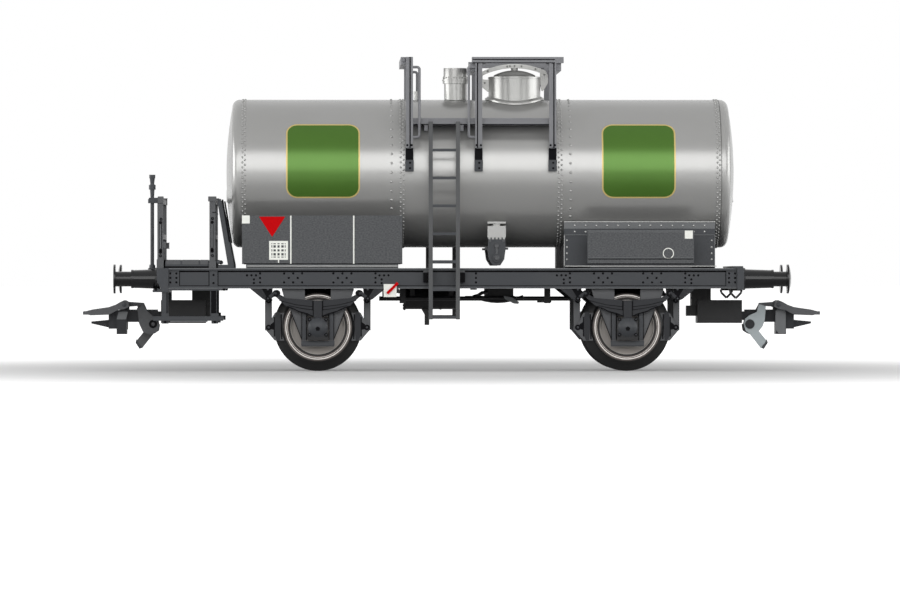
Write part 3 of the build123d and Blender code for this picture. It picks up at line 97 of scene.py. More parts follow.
class Shape:
    """A piece while it is put together, in millimetres, as closed shells."""

    def __init__(self):
        self.mesh = bmesh.new()

    def shell(self, points, faces):
        vertices = [self.mesh.verts.new(point) for point in points]
        for face in faces:
            self.mesh.faces.new([vertices[index] for index in face])
        return vertices

    def block(self, x_span, y_span, z_span):
        points = [(x, y, z) for x in x_span for y in y_span for z in z_span]
        faces = ((0, 1, 3, 2), (4, 6, 7, 5), (0, 4, 5, 1), (2, 3, 7, 6), (0, 2, 6, 4), (1, 5, 7, 3))
        self.shell(points, faces)

    def plate(self, outline, y_span):
        """A flat plate from an outline in X and Z."""
        count = len(outline)
        points = [(x, y_span[0], z) for x, z in outline] + [(x, y_span[1], z) for x, z in outline]
        faces = [(i, (i + 1) % count, (i + 1) % count + count, i + count) for i in range(count)]
        faces += [tuple(range(count)), tuple(range(2 * count - 1, count - 1, -1))]
        self.shell(points, faces)

    def turned(self, centre, axis, profile, steps=28):
        """A ring or a solid turned from radii and places along the axis; ends on the axis are poles."""
        turn = Vector((0, 0, 1)).rotation_difference(Vector(axis)).to_matrix()
        rings = []
        for radius, along in profile:
            count = steps if radius > 0 else 1
            ring = []
            for step in range(count):
                angle = 2 * math.pi * step / steps
                point = Vector((radius * math.cos(angle), radius * math.sin(angle), along))
                ring.append(self.mesh.verts.new(Vector(centre) + turn @ point))
            rings.append(ring)
        closed = profile[0][0] > 0 and profile[-1][0] > 0
        pairs = list(zip(rings, rings[1:])) + ([(rings[-1], rings[0])] if closed else [])
        for first, second in pairs:
            for step in range(steps):
                following = (step + 1) % steps
                corners = (first[step % len(first)], first[following % len(first)],
                           second[following % len(second)], second[step % len(second)])
                self.mesh.faces.new(list(dict.fromkeys(corners)))

    def tube(self, points, radius, steps=8, closed=False):
        """A round bar along a line of points."""
        path = [Vector(point) for point in points]
        count = len(path)
        rings = []
        for place, point in enumerate(path):
            before = path[place - 1] if place or closed else point
            after = path[(place + 1) % count] if place + 1 < count or closed else point
            run = (after - before).normalized()
            side = run.cross(Vector((0, 0, 1)) if abs(run.z) < 0.9 else Vector((0, 1, 0))).normalized()
            up = side.cross(run)
            angles = [2 * math.pi * step / steps for step in range(steps)]
            rings.append([
                self.mesh.verts.new(point + radius * (math.cos(angle) * side + math.sin(angle) * up))
                for angle in angles
            ])
        pairs = list(zip(rings, rings[1:])) + ([(rings[-1], rings[0])] if closed else [])
        for first, second in pairs:
            for step in range(steps):
                following = (step + 1) % steps
                self.mesh.faces.new((first[step], first[following], second[following], second[step]))
        if not closed:
            self.mesh.faces.new(rings[0])
            self.mesh.faces.new(rings[-1])

    def slab(self, rows, columns, place):
        """A thin slab over a grid; place(row, column, level) gives a point below or above."""
        levels = [
            [
                [self.mesh.verts.new(place(row, column, level)) for column in range(columns)]
                for row in range(rows)
            ]
            for level in (0, 1)
        ]
        for level in levels:
            for row in range(rows - 1):
                for column in range(columns - 1):
                    self.mesh.faces.new((level[row][column], level[row][column + 1],
                                         level[row + 1][column + 1], level[row + 1][column]))
        rim = [(0, column) for column in range(columns - 1)]
        rim += [(row, columns - 1) for row in range(rows - 1)]
        rim += [(rows - 1, column) for column in range(columns - 1, 0, -1)]
        rim += [(row, 0) for row in range(rows - 1, 0, -1)]
        for (row, column), (next_row, next_column) in zip(rim, rim[1:] + rim[:1]):
            self.mesh.faces.new((levels[0][row][column], levels[0][next_row][next_column],
                                 levels[1][next_row][next_column], levels[1][row][column]))

    def take(self, mesh):
        """Add a plain mesh that Geometry Nodes made."""
        self.mesh.from_mesh(mesh)
        bpy.data.meshes.remove(mesh)

    def both_sides(self):
        """Repeat the piece on the far side."""
        everything = self.mesh.verts[:] + self.mesh.edges[:] + self.mesh.faces[:]
        copy = bmesh.ops.duplicate(self.mesh, geom=everything)
        for item in copy["geom"]:
            if isinstance(item, bmesh.types.BMVert):
                item.co.y = -item.co.y

    def finish(self, name, skin, body="chassis", far=False, soft=0.0, sharp=32.0):
        """Turn the shape into a named piece in metres, with its skin and its body."""
        if far:
            self.both_sides()
        if soft:
            bmesh.ops.bevel(self.mesh, geom=self.mesh.edges[:], offset=soft, segments=2, affect="EDGES",
                            clamp_overlap=True)
        bmesh.ops.recalc_face_normals(self.mesh, faces=self.mesh.faces[:])
        bmesh.ops.scale(self.mesh, vec=(MM, MM, MM), verts=self.mesh.verts[:])
        data = bpy.data.meshes.new(name)
        self.mesh.to_mesh(data)
        self.mesh.free()
        data.shade_smooth()
        data.set_sharp_from_angle(angle=math.radians(sharp))
        material, slot = SKINS[skin]
        data.materials.clear()
        data.materials.append(material)
        piece = bpy.data.objects.new(name, data)
        bpy.context.scene.collection.objects.link(piece)
        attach(piece, body)
        return piece


# Node helpers


def add_node(tree, kind, place=(0, 0), **settings):
    node = tree.nodes.new(kind)
    node.location = place
    for name, value in settings.items():
        setattr(node, name, value)
    return node


def feed(tree, value, socket):
    """Link a socket or set a plain value."""
    if isinstance(value, bpy.types.NodeSocket):
        tree.links.new(value, socket)
    else:
        socket.default_value = value


def calculate(tree, operation, *values):
    node = add_node(tree, "ShaderNodeMath", operation=operation)
    for value, socket in zip(values, node.inputs):
        feed(tree, value, socket)
    return node.outputs[0]


def mix_colour(tree, factor, first, second):
    node = add_node(tree, "ShaderNodeMix", data_type="RGBA")
    for index, value in ((0, factor), (6, first), (7, second)):
        feed(tree, value, node.inputs[index])
    return node.outputs[2]


def new_group(name, kind, inputs, outputs):
    """A node group with named sockets; returns the tree, its input node and its output node."""
    tree = bpy.data.node_groups.new(name, kind)
    for label, socket_kind, value in inputs:
        socket = tree.interface.new_socket(label, in_out="INPUT", socket_type=socket_kind)
        if value is not None:
            socket.default_value = value
    for label, socket_kind in outputs:
        tree.interface.new_socket(label, in_out="OUTPUT", socket_type=socket_kind)
    start = add_node(tree, "NodeGroupInput", (-900, 0))
    end = add_node(tree, "NodeGroupOutput", (900, 0))
    return tree, start, end


def use_group(tree, group, **values):
    """A group's node with its named inputs fed; underscores stand for spaces."""
    node = add_node(tree, "ShaderNodeGroup")
    node.node_tree = group
    for label, value in values.items():
        feed(tree, value, node.inputs[label.replace("_", " ").capitalize()])
    return node


# Shader groups


def make_fine_finish():
    """Fine mottling of a painted or moulded skin: cloudy tone, grain in the gloss and a slight relief."""
    tree, start, end = new_group(
        "fine_finish",
        "ShaderNodeTree",
        (
            ("Tone", "NodeSocketColor", (0.5, 0.5, 0.5, 1)),
            ("Dust", "NodeSocketColor", (0.5, 0.5, 0.5, 1)),
            ("Dust share", "NodeSocketFloat", 0.3),
            ("Cloud size", "NodeSocketFloat", 120.0),
            ("Grain size", "NodeSocketFloat", 4000.0),
            ("Gloss", "NodeSocketFloat", 0.4),
            ("Gloss play", "NodeSocketFloat", 0.1),
            ("Relief", "NodeSocketFloat", 0.1),
            ("Stretch", "NodeSocketVector", (1, 1, 1)),
        ),
        (("Colour", "NodeSocketColor"), ("Roughness", "NodeSocketFloat"), ("Normal", "NodeSocketVector")),
    )
    place = add_node(tree, "ShaderNodeTexCoord")
    grained = add_node(tree, "ShaderNodeVectorMath", operation="MULTIPLY")
    feed(tree, place.outputs["Object"], grained.inputs[0])
    feed(tree, start.outputs["Stretch"], grained.inputs[1])
    fields = []
    for size, detail in (("Cloud size", 3.0), ("Grain size", 2.0)):
        noise = add_node(tree, "ShaderNodeTexNoise")
        noise.inputs["Detail"].default_value = detail
        feed(tree, grained.outputs[0], noise.inputs["Vector"])
        feed(tree, start.outputs[size], noise.inputs["Scale"])
        fields.append(noise.outputs["Fac"])
    cloud, grain = fields
    contrast = add_node(tree, "ShaderNodeMapRange")
    contrast.inputs["From Min"].default_value = 0.35
    contrast.inputs["From Max"].default_value = 0.65
    feed(tree, cloud, contrast.inputs["Value"])
    amount = calculate(tree, "MULTIPLY", contrast.outputs["Result"], start.outputs["Dust share"])
    feed(tree, mix_colour(tree, amount, start.outputs["Tone"], start.outputs["Dust"]), end.inputs["Colour"])
    roughness = calculate(tree, "MULTIPLY_ADD", grain, start.outputs["Gloss play"], start.outputs["Gloss"])
    feed(tree, roughness, end.inputs["Roughness"])
    bump = add_node(tree, "ShaderNodeBump")
    bump.inputs["Distance"].default_value = 0.02 * MM
    feed(tree, start.outputs["Relief"], bump.inputs["Strength"])
    feed(tree, grain, bump.inputs["Height"])
    feed(tree, bump.outputs["Normal"], end.inputs["Normal"])
    return tree


def make_turned_share():
    """Distance from a wheel's axle as a share of the flange's radius."""
    tree, start, end = new_group(
        "turned_share",
        "ShaderNodeTree",
        (("Axle", "NodeSocketVector", (0, 0, 0)), ("Flange", "NodeSocketFloat", 1.0)),
        (("Share", "NodeSocketFloat"),),
    )
    place = add_node(tree, "ShaderNodeTexCoord")
    away = add_node(tree, "ShaderNodeVectorMath", operation="SUBTRACT")
    feed(tree, place.outputs["Object"], away.inputs[0])
    feed(tree, start.outputs["Axle"], away.inputs[1])
    flat = add_node(tree, "ShaderNodeVectorMath", operation="MULTIPLY")
    flat.inputs[1].default_value = (1, 0, 1)
    feed(tree, away.outputs[0], flat.inputs[0])
    length = add_node(tree, "ShaderNodeVectorMath", operation="LENGTH")
    feed(tree, flat.outputs[0], length.inputs[0])
    share = calculate(tree, "DIVIDE", length.outputs["Value"], start.outputs["Flange"])
    feed(tree, share, end.inputs["Share"])
    return tree


FINE_FINISH = make_fine_finish()
TURNED_SHARE = make_turned_share()


def blank_material(name, tone):
    material = bpy.data.materials.new(name)
    material.use_nodes = True
    material.diffuse_color = (*tone, 1)
    return material, material.node_tree, material.node_tree.nodes["Principled BSDF"]


def finish_material(name, tone, dust, metallic=0.0, gloss=0.4, play=0.1, relief=0.1, share=0.3,
                    cloud=120.0, grain=1500.0, specular=0.5, stretch=(1, 1, 1)):
    """A material whose skin comes from the fine finish group."""
    material, tree, shader = blank_material(name, tone)
    shader.inputs["Metallic"].default_value = metallic
    shader.inputs["Specular IOR Level"].default_value = specular
    group = use_group(tree, FINE_FINISH, tone=(*tone, 1), dust=(*dust, 1), dust_share=share, cloud_size=cloud,
                      grain_size=grain, gloss=gloss, gloss_play=play, relief=relief, stretch=stretch)
    feed(tree, group.outputs["Colour"], shader.inputs["Base Color"])
    feed(tree, group.outputs["Roughness"], shader.inputs["Roughness"])
    feed(tree, group.outputs["Normal"], shader.inputs["Normal"])
    return material


FLANGE_RADIUS = 6.5
WHEEL_RINGS = (  # from radius, colour, metallic, roughness
    (0.0, (0.27, 0.25, 0.232), 0.2, 0.45),
    (4.02, (0.004, 0.004, 0.004), 0.0, 0.6),
    (4.28, (0.06, 0.043, 0.037), 0.0, 0.45),
    (4.42, (0.5, 0.475, 0.45), 0.6, 0.3),
    (4.51, (0.05, 0.038, 0.033), 0.0, 0.45),
    (4.64, (0.62, 0.59, 0.56), 0.6, 0.3),
    (4.76, (0.11, 0.095, 0.088), 0.0, 0.45),
    (5.02, (0.005, 0.005, 0.005), 0.0, 0.45),
)


def wheel_material(end):
    """Painted disc, bright turned rim and blackened tread and flange, by the distance from the axle."""
    material, tree, shader = blank_material(f"{end}_wheel_finish", WHEEL_RINGS[0][1])
    axle = (AXLES[end] * MM, 0, AXLE_Z * MM)
    share = use_group(tree, TURNED_SHARE, axle=axle, flange=FLANGE_RADIUS * MM).outputs["Share"]
    columns = (
        ("Base Color", lambda ring: ring[1]),
        ("Metallic", lambda ring: (ring[2],) * 3),
        ("Roughness", lambda ring: (ring[3],) * 3),
    )
    for label, value in columns:
        ramp = add_node(tree, "ShaderNodeValToRGB")
        ramp.color_ramp.interpolation = "CONSTANT"
        stops = ramp.color_ramp.elements
        stops.remove(stops[1])
        stops[0].color = (*value(WHEEL_RINGS[0]), 1)
        for ring in WHEEL_RINGS[1:]:
            stops.new(ring[0] / FLANGE_RADIUS).color = (*value(ring), 1)
        feed(tree, share, ramp.inputs["Fac"])
        feed(tree, ramp.outputs["Color"], shader.inputs[label])
    shader.inputs["Specular IOR Level"].default_value = 0.35
    grain = use_group(tree, FINE_FINISH, grain_size=900.0, relief=0.05)
    feed(tree, grain.outputs["Normal"], shader.inputs["Normal"])
    return material


PAINTS = (  # skin, slot, material, tone, dust, other settings
    ("silver", "tank_silver", "silver_tank_paint", (0.3, 0.3, 0.293), (0.27, 0.27, 0.262),
     {"metallic": 0.45, "gloss": 0.24, "play": 0.04, "relief": 0.012, "grain": 900.0}),
    ("bright_silver", "tank_silver", "bright_dome_paint", (0.33, 0.33, 0.32), (0.3, 0.3, 0.29),
     {"metallic": 0.5, "gloss": 0.28, "play": 0.04, "relief": 0.006, "grain": 900.0}),
    ("lid", "lid_grey", "dark_lid_paint", (0.11, 0.11, 0.105), (0.13, 0.13, 0.125),
     {"metallic": 0.3, "gloss": 0.35}),
    # frame, shade, edge, dim and gear are copies of one frame plastic in one slot, toned part by part to how
    # light falls: shade and dim are darker copies that paint shade, edge and gear lighter copies that paint
    # light, edge also as thin highlights
    ("frame", "frame_grey", "frame_plastic", (0.036, 0.039, 0.044), (0.046, 0.048, 0.051),
     {"relief": 0.06, "specular": 0.25}),
    ("shade", "frame_grey", "painted_shade_black", (0.004, 0.004, 0.005), (0.006, 0.006, 0.006),
     {"gloss": 0.6, "specular": 0.05}),
    ("edge", "frame_grey", "painted_light_grey", (0.12, 0.125, 0.13), (0.1, 0.105, 0.11), {"specular": 0.3}),
    ("dim", "frame_grey", "shaded_frame_plastic", (0.023, 0.024, 0.027), (0.03, 0.031, 0.034),
     {"gloss": 0.42, "specular": 0.15}),
    ("railing", "railing_grey", "railing_plastic", (0.148, 0.15, 0.16), (0.172, 0.174, 0.185),
     {"relief": 0.05, "share": 0.5, "cloud": 250.0, "specular": 0.4}),
    ("ladder", "railing_grey", "ladder_plastic", (0.056, 0.058, 0.06), (0.07, 0.072, 0.074),
     {"relief": 0.05, "share": 0.5, "cloud": 250.0, "specular": 0.3}),
    ("gear", "frame_grey", "lit_frame_plastic", (0.07, 0.072, 0.076), (0.086, 0.088, 0.092),
     {"gloss": 0.42, "relief": 0.05, "share": 0.5, "cloud": 250.0, "specular": 0.25}),
    ("board", "board_grey", "board_plastic", (0.042, 0.045, 0.049), (0.1, 0.102, 0.105),
     {"gloss": 0.48, "play": 0.15, "relief": 0.4, "share": 0.6, "cloud": 6000.0, "grain": 2500.0,
      "specular": 0.3, "stretch": (0.6, 1, 1)}),
    ("black", "black_plastic", "black_plastic", (0.011, 0.011, 0.012), (0.02, 0.0195, 0.019),
     {"gloss": 0.38, "relief": 0.05, "specular": 0.22}),
    ("buffer_black", "black_plastic", "polished_black", (0.005, 0.005, 0.006), (0.007, 0.007, 0.008),
     {"gloss": 0.17, "play": 0.04, "relief": 0.01, "grain": 900.0, "specular": 0.3}),
    ("steel", "tyre_steel", "turned_steel", (0.62, 0.6, 0.57), (0.5, 0.48, 0.46),
     {"metallic": 1.0, "gloss": 0.22}),
    ("zinc", "lever_zinc", "cast_zinc", (0.27, 0.3, 0.31), (0.22, 0.245, 0.25),
     {"metallic": 0.3, "gloss": 0.42, "play": 0.12, "relief": 0.5}),
    # dark_zinc is a darker copy of the zinc for the left lever, which lies in shade: painted shade
    ("dark_zinc", "lever_zinc", "shaded_zinc_lever", (0.05, 0.051, 0.053), (0.075, 0.075, 0.077),
     {"metallic": 0.2, "gloss": 0.38, "specular": 0.4}),
    ("white", "plate_white", "white_print", (0.78, 0.79, 0.74), (0.68, 0.69, 0.65), {"gloss": 0.5}),
    ("red", "lever_red", "red_print", (0.5, 0.002, 0.004), (0.42, 0.002, 0.004),
     {"gloss": 0.5, "specular": 0.03}),
    ("sign_green", "plate_white", "green_sign_enamel", (0.046, 0.122, 0.008), (0.055, 0.14, 0.011),
     {"metallic": 0.45, "gloss": 0.24, "play": 0.04, "relief": 0.012, "share": 0.4, "cloud": 150.0,
      "grain": 900.0}),
    ("sign_rim", "plate_white", "pale_sign_rim", (0.52, 0.4, 0.14), (0.44, 0.34, 0.12),
     {"metallic": 0.3, "gloss": 0.3}),
)
SKINS = {
    skin: (finish_material(name, tone, dust, **settings), slot)
    for skin, slot, name, tone, dust, settings in PAINTS
}
for wheel_end in AXLES:
    SKINS[f"{wheel_end}_wheel"] = (wheel_material(wheel_end), "tyre_steel")

CAD_SKINS = {  # the other nodes wear the frame's skin
    "silver": ("tank_barrel", "tank_heads", "outlet_necks"),
    "bright_silver": ("dome", "dome_clamp", "vent_stack", "filler_plug"),
    "lid": ("dome_lid",),
    "railing": (
        "walkway_near", "walkway_far", "railing_posts", "railing_rails", "railing_ties", "hand_grips",
    ),
    "ladder": ("ladder_near", "ladder_far"),
    "board": ("boards_left", "boards_right"),
    "left_wheel": ("left_wheel_centres", "left_tyres"),
    "right_wheel": ("right_wheel_centres", "right_tyres"),
    "steel": ("left_axle", "right_axle"),
    "zinc": ("right_coupler_lever",),
    "dark_zinc": ("left_coupler_lever",),
    "white": ("release_plates",),
    "red": ("release_levers",),
    "buffer_black": ("buffer_heads", "buffer_sleeves"),
    "black": ("left_coupler_pocket", "right_coupler_pocket", "rope_eyes", "brake_rigging"),
    "dim": ("springs", "left_coupler_head", "right_coupler_head"),
    "gear": (
        "brakes_left", "brakes_right", "axle_guards_left", "axle_guards_right", "left_coupler_loop",
        "right_coupler_loop",
    ),
}
skin_of_node = {node: skin for skin, nodes in CAD_SKINS.items() for node in nodes}
for node_name, node_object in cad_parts.items():
    for material_slot in node_object.material_slots:
        material_slot.material = SKINS[skin_of_node.get(node_name, "frame")][0]


# Geometry Nodes trees


def end_tree(tree, geometry, skin, end):
    """Realise the copies, give them their skin and hand them over."""
    real = add_node(tree, "GeometryNodeRealizeInstances", (500, 0))
    painted = add_node(tree, "GeometryNodeSetMaterial", (700, 0))
    feed(tree, geometry, real.inputs[0])
    feed(tree, real.outputs[0], painted.inputs["Geometry"])
    feed(tree, skin, painted.inputs["Material"])
    feed(tree, painted.outputs[0], end.inputs["Geometry"])


def head_instance(tree, start, domed):
    """A rivet's domed head or a bolt's flat one, from the tree's sizes."""
    if domed:
        head = add_node(tree, "GeometryNodeMeshUVSphere")
        feed(tree, 4, head.inputs["Rings"])
        feed(tree, start.outputs["Sides"], head.inputs["Segments"])
        flat = add_node(tree, "GeometryNodeTransform")
        feed(tree, head.outputs["Mesh"], flat.inputs["Geometry"])
        feed(tree, start.outputs["Head radius"], head.inputs["Radius"])
        squeeze = add_node(tree, "ShaderNodeCombineXYZ")
        share = calculate(tree, "DIVIDE", start.outputs["Head height"], start.outputs["Head radius"])
        for index, value in enumerate((1, 1, share)):
            feed(tree, value, squeeze.inputs[index])
        feed(tree, squeeze.outputs[0], flat.inputs["Scale"])
        return flat.outputs[0]
    head = add_node(tree, "GeometryNodeMeshCylinder")
    feed(tree, start.outputs["Sides"], head.inputs["Vertices"])
    feed(tree, start.outputs["Head radius"], head.inputs["Radius"])
    depth = calculate(tree, "MULTIPLY", start.outputs["Head height"], 2.0)
    feed(tree, depth, head.inputs["Depth"])
    return head.outputs["Mesh"]


HEAD_INPUTS = (
    ("Head radius", "NodeSocketFloat", 0.14),
    ("Head height", "NodeSocketFloat", 0.09),
    ("Sides", "NodeSocketInt", 8),
    ("Skin", "NodeSocketMaterial", None),
)


def set_on(tree, points, head, facing):
    """Copies of a head on points, each turned to face outwards."""
    turn = add_node(tree, "FunctionNodeAlignRotationToVector", axis="Z")
    feed(tree, facing, turn.inputs["Vector"])
    copies = add_node(tree, "GeometryNodeInstanceOnPoints")
    feed(tree, points, copies.inputs["Points"])
    feed(tree, head, copies.inputs["Instance"])
    feed(tree, turn.outputs[0], copies.inputs["Rotation"])
    return copies.outputs[0]


def make_heads_tree(name, domed):
    """Rivet or bolt heads on given points, facing the way of the points' own facing attribute."""
    tree, start, end = new_group(
        name, "GeometryNodeTree", (("Geometry", "NodeSocketGeometry", None),) + HEAD_INPUTS,
        (("Geometry", "NodeSocketGeometry"),),
    )
    facing = add_node(tree, "GeometryNodeInputNamedAttribute", data_type="FLOAT_VECTOR")
    facing.inputs["Name"].default_value = "facing"
    copies = set_on(tree, start.outputs["Geometry"], head_instance(tree, start, domed), facing.outputs[0])
    end_tree(tree, copies, start.outputs["Skin"], end)
    return tree


def make_seam_tree():
    """Columns of rivets round the tank, every other column half a pitch on."""
    tree, start, end = new_group(
        "seam_rivets",
        "GeometryNodeTree",
        (
            ("Seam place", "NodeSocketFloat", 0.0),
            ("Columns", "NodeSocketInt", 2),
            ("Column gap", "NodeSocketFloat", 0.38),
            ("Per turn", "NodeSocketInt", 92),
            ("Tank radius", "NodeSocketFloat", TANK_RADIUS),
            ("Tank height", "NodeSocketFloat", TANK_Z),
        ) + HEAD_INPUTS,
        (("Geometry", "NodeSocketGeometry"),),
    )
    given = start.outputs
    index = add_node(tree, "GeometryNodeInputIndex").outputs[0]
    column = calculate(tree, "MODULO", index, given["Columns"])
    row = calculate(tree, "FLOOR", calculate(tree, "DIVIDE", index, given["Columns"]))
    stagger = calculate(tree, "MULTIPLY", calculate(tree, "MODULO", column, 2.0), 0.5)
    turns = calculate(tree, "DIVIDE", calculate(tree, "ADD", row, stagger), given["Per turn"])
    angle = calculate(tree, "MULTIPLY", turns, 2 * math.pi)
    outward = [calculate(tree, name, angle) for name in ("COSINE", "SINE")]
    centred = calculate(
        tree, "SUBTRACT", column,
        calculate(tree, "MULTIPLY", calculate(tree, "SUBTRACT", given["Columns"], 1.0), 0.5),
    )
    place = add_node(tree, "ShaderNodeCombineXYZ")
    places = (
        calculate(tree, "MULTIPLY_ADD", centred, given["Column gap"], given["Seam place"]),
        calculate(tree, "MULTIPLY", outward[0], given["Tank radius"]),
        calculate(tree, "MULTIPLY_ADD", outward[1], given["Tank radius"], given["Tank height"]),
    )
    for number, socket in zip(places, place.inputs):
        feed(tree, number, socket)
    facing = add_node(tree, "ShaderNodeCombineXYZ")
    feed(tree, outward[0], facing.inputs[1])
    feed(tree, outward[1], facing.inputs[2])
    points = add_node(tree, "GeometryNodePoints")
    feed(tree, calculate(tree, "MULTIPLY", given["Columns"], given["Per turn"]), points.inputs["Count"])
    feed(tree, place.outputs[0], points.inputs["Position"])
    copies = set_on(tree, points.outputs[0], head_instance(tree, start, True), facing.outputs[0])
    end_tree(tree, copies, given["Skin"], end)
    return tree


def make_slat_tree():
    """A row of equal slats."""
    tree, start, end = new_group(
        "slat_row",
        "GeometryNodeTree",
        (
            ("Count", "NodeSocketInt", 10),
            ("First", "NodeSocketVector", (0, 0, 0)),
            ("Pitch", "NodeSocketVector", (1, 0, 0)),
            ("Slat", "NodeSocketVector", (1, 1, 1)),
            ("Skin", "NodeSocketMaterial", None),
        ),
        (("Geometry", "NodeSocketGeometry"),),
    )
    line = add_node(tree, "GeometryNodeMeshLine")
    slat = add_node(tree, "GeometryNodeMeshCube")
    copies = add_node(tree, "GeometryNodeInstanceOnPoints")
    feed(tree, start.outputs["Count"], line.inputs["Count"])
    feed(tree, start.outputs["First"], line.inputs["Start Location"])
    feed(tree, start.outputs["Pitch"], line.inputs["Offset"])
    feed(tree, start.outputs["Slat"], slat.inputs["Size"])
    feed(tree, line.outputs[0], copies.inputs["Points"])
    feed(tree, slat.outputs["Mesh"], copies.inputs["Instance"])
    end_tree(tree, copies.outputs[0], start.outputs["Skin"], end)
    return tree


RIVET_HEADS = make_heads_tree("rivet_heads", True)
BOLT_HEADS = make_heads_tree("bolt_heads", False)
SEAM_RIVETS = make_seam_tree()
SLAT_ROW = make_slat_tree()


def grown(tree, inputs, mesh=None):
    """The plain mesh that a tree makes from its named inputs."""
    seed = bpy.data.objects.new("seed", mesh or bpy.data.meshes.new("seed"))
    bpy.context.scene.collection.objects.link(seed)
    modifier = seed.modifiers.new("grow", "NODES")
    modifier.node_group = tree
    for item in tree.interface.items_tree:
        if item.in_out == "INPUT" and item.name in inputs:
            modifier[item.identifier] = inputs[item.name]
    result = bpy.data.meshes.new_from_object(seed.evaluated_get(bpy.context.evaluated_depsgraph_get()))
    base = seed.data
    seed.modifiers.clear()
    bpy.data.objects.remove(seed)
    bpy.data.meshes.remove(base)
    return result


def heads(points, facing, radius, height, skin, tree=RIVET_HEADS, sides=8):
    """Heads on a list of points that all face one way, or each its own."""
    mesh = bpy.data.meshes.new("points")
    mesh.from_pydata(points, [], [])
    ways = facing if isinstance(facing, list) else [facing] * len(points)
    attribute = mesh.attributes.new("facing", "FLOAT_VECTOR", "POINT")
    attribute.data.foreach_set("vector", [number for way in ways for number in way])
    return grown(tree, {
        "Head radius": radius, "Head height": height, "Sides": sides, "Skin": SKINS[skin][0],
    }, mesh)


NEAR = (0, -1, 0)
ALONG = (1, 0, 0)
UP = (0, 0, 1)


# Piece helpers


def proud(face, out=0.0, back=0.1):
    """The span in Y from in front of a face on the near side to behind it."""
    return -face - out, -face + back


def about(place, half):
    """The span of a width about its middle."""
    return place - half, place + half


def square_ring(inner, outer, low, high):
    """The profile of a flat ring, from two radii and two places along its axis."""
    return (inner, low), (outer, low), (outer, high), (inner, high)


def mirrored(table, side):
    """An outline turned to one side of an axle."""
    return [(side * x, z) for x, z in table]


def beside(axle_x, side, table):
    """An outline given from an axle, put beside it on one side."""
    return [(axle_x + x, AXLE_Z + z) for x, z in mirrored(table, side)]


AXLE_SIDES = [(axle_x, side) for axle_x in AXLES.values() for side in (-1, 1)]


def block_piece(name, skin, blocks, **finish):
    """A piece of plain blocks, each from its spans along X, Y and Z."""
    shape = Shape()
    for block in blocks:
        shape.block(*block)
    shape.finish(name, skin, **finish)


def head_piece(name, skin, points, radius, height, tree=RIVET_HEADS, sides=8, facing=NEAR, far=True,
               **finish):
    """A piece of nothing but heads."""
    shape = Shape()
    shape.take(heads(points, facing, radius, height, skin, tree, sides))
    shape.finish(name, skin, far=far, **finish)


def pin_pieces(name, points, radius, skin="edge"):
    """Pin heads, each in a ring of painted shade; by default the head wears the lighter grey as a painted
    highlight.
    """
    head_piece(f"{name}_rings", "shade", points, radius, 0.07, BOLT_HEADS, 16)
    head_piece(name, skin, points, radius * 0.52, 0.14, RIVET_HEADS, 12)


def line_along(shape, path, width, y_span):
    """A thin strip under each stretch of a line in X and Z."""
    for (x, z), (next_x, next_z) in zip(path, path[1:]):
        shape.plate(((x, z), (next_x, next_z), (next_x, next_z - width), (x, z - width)), y_span)


# Tank

LEFT_SEAM, RIGHT_SEAM = -7.46, 15.86
LAP_WIDTH = 0.96
SEAMS = (  # place, columns, gap between them, heads in a turn, head's radius
    (TANK_LEFT + 0.67, 2, 0.36, 92, 0.17),
    (LEFT_SEAM - 1.56, 1, 0.0, 50, 0.2),
    (LEFT_SEAM, 2, 0.43, 92, 0.18),
    (RIGHT_SEAM, 2, 0.43, 92, 0.18),
    (RIGHT_SEAM + 1.53, 1, 0.0, 50, 0.2),
    (TANK_RIGHT - 0.73, 2, 0.36, 92, 0.17),
)


def make_tank_rivets():
    """Rivets round the tank's seams."""
    shape = Shape()
    for place, columns, gap, count, radius in SEAMS:
        shape.take(grown(SEAM_RIVETS, {
            "Seam place": place, "Columns": columns, "Per turn": count, "Column gap": gap,
            "Head radius": radius, "Head height": 0.13, "Sides": 8, "Skin": SKINS["silver"][0],
        }))
    shape.finish("tank_rivets", "silver", sharp=60)


def make_tank_seams():
    """The dark joint before the right head, and a lap strip under each double seam."""
    laps = [(seam - LAP_WIDTH / 2, LAP_WIDTH) for seam in (LEFT_SEAM, RIGHT_SEAM)]
    bands = (  # piece, skin, places along the tank with widths, lift from its skin
        ("tank_joint_line", "lid", [(TANK_RIGHT - 0.37, 0.14)], 0.012),
        ("tank_lap_strips", "silver", laps, 0.03),
    )
    for name, skin, places, lift in bands:
        shape = Shape()
        for place, width in places:
            profile = square_ring(TANK_RADIUS - 0.2, TANK_RADIUS + lift, 0, width)
            shape.turned((place, 0, TANK_Z), ALONG, profile, 96)
        shape.finish(name, skin)


def on_tank(x, angle, lift, side=-1):
    """A point on the tank's skin, from an angle above the middle of one side."""
    radius = TANK_RADIUS + lift
    return x, side * radius * math.cos(angle), TANK_Z + radius * math.sin(angle)


SIGN_WIDTH = 10.9
SIGN_ANGLES = (math.radians(-20.0), math.radians(40.5))
SIGN_CORNER = 1.7
SIGN_PLACES = (-19.13, 27.47)
SIGN_LAYERS = (  # piece, skin, inset from the rim, lowest and highest lift
    ("sign_rims", "sign_rim", 0.0, (-0.05, 0.02)),
    ("sign_fields", "sign_green", 0.22, (-0.02, 0.035)),
)


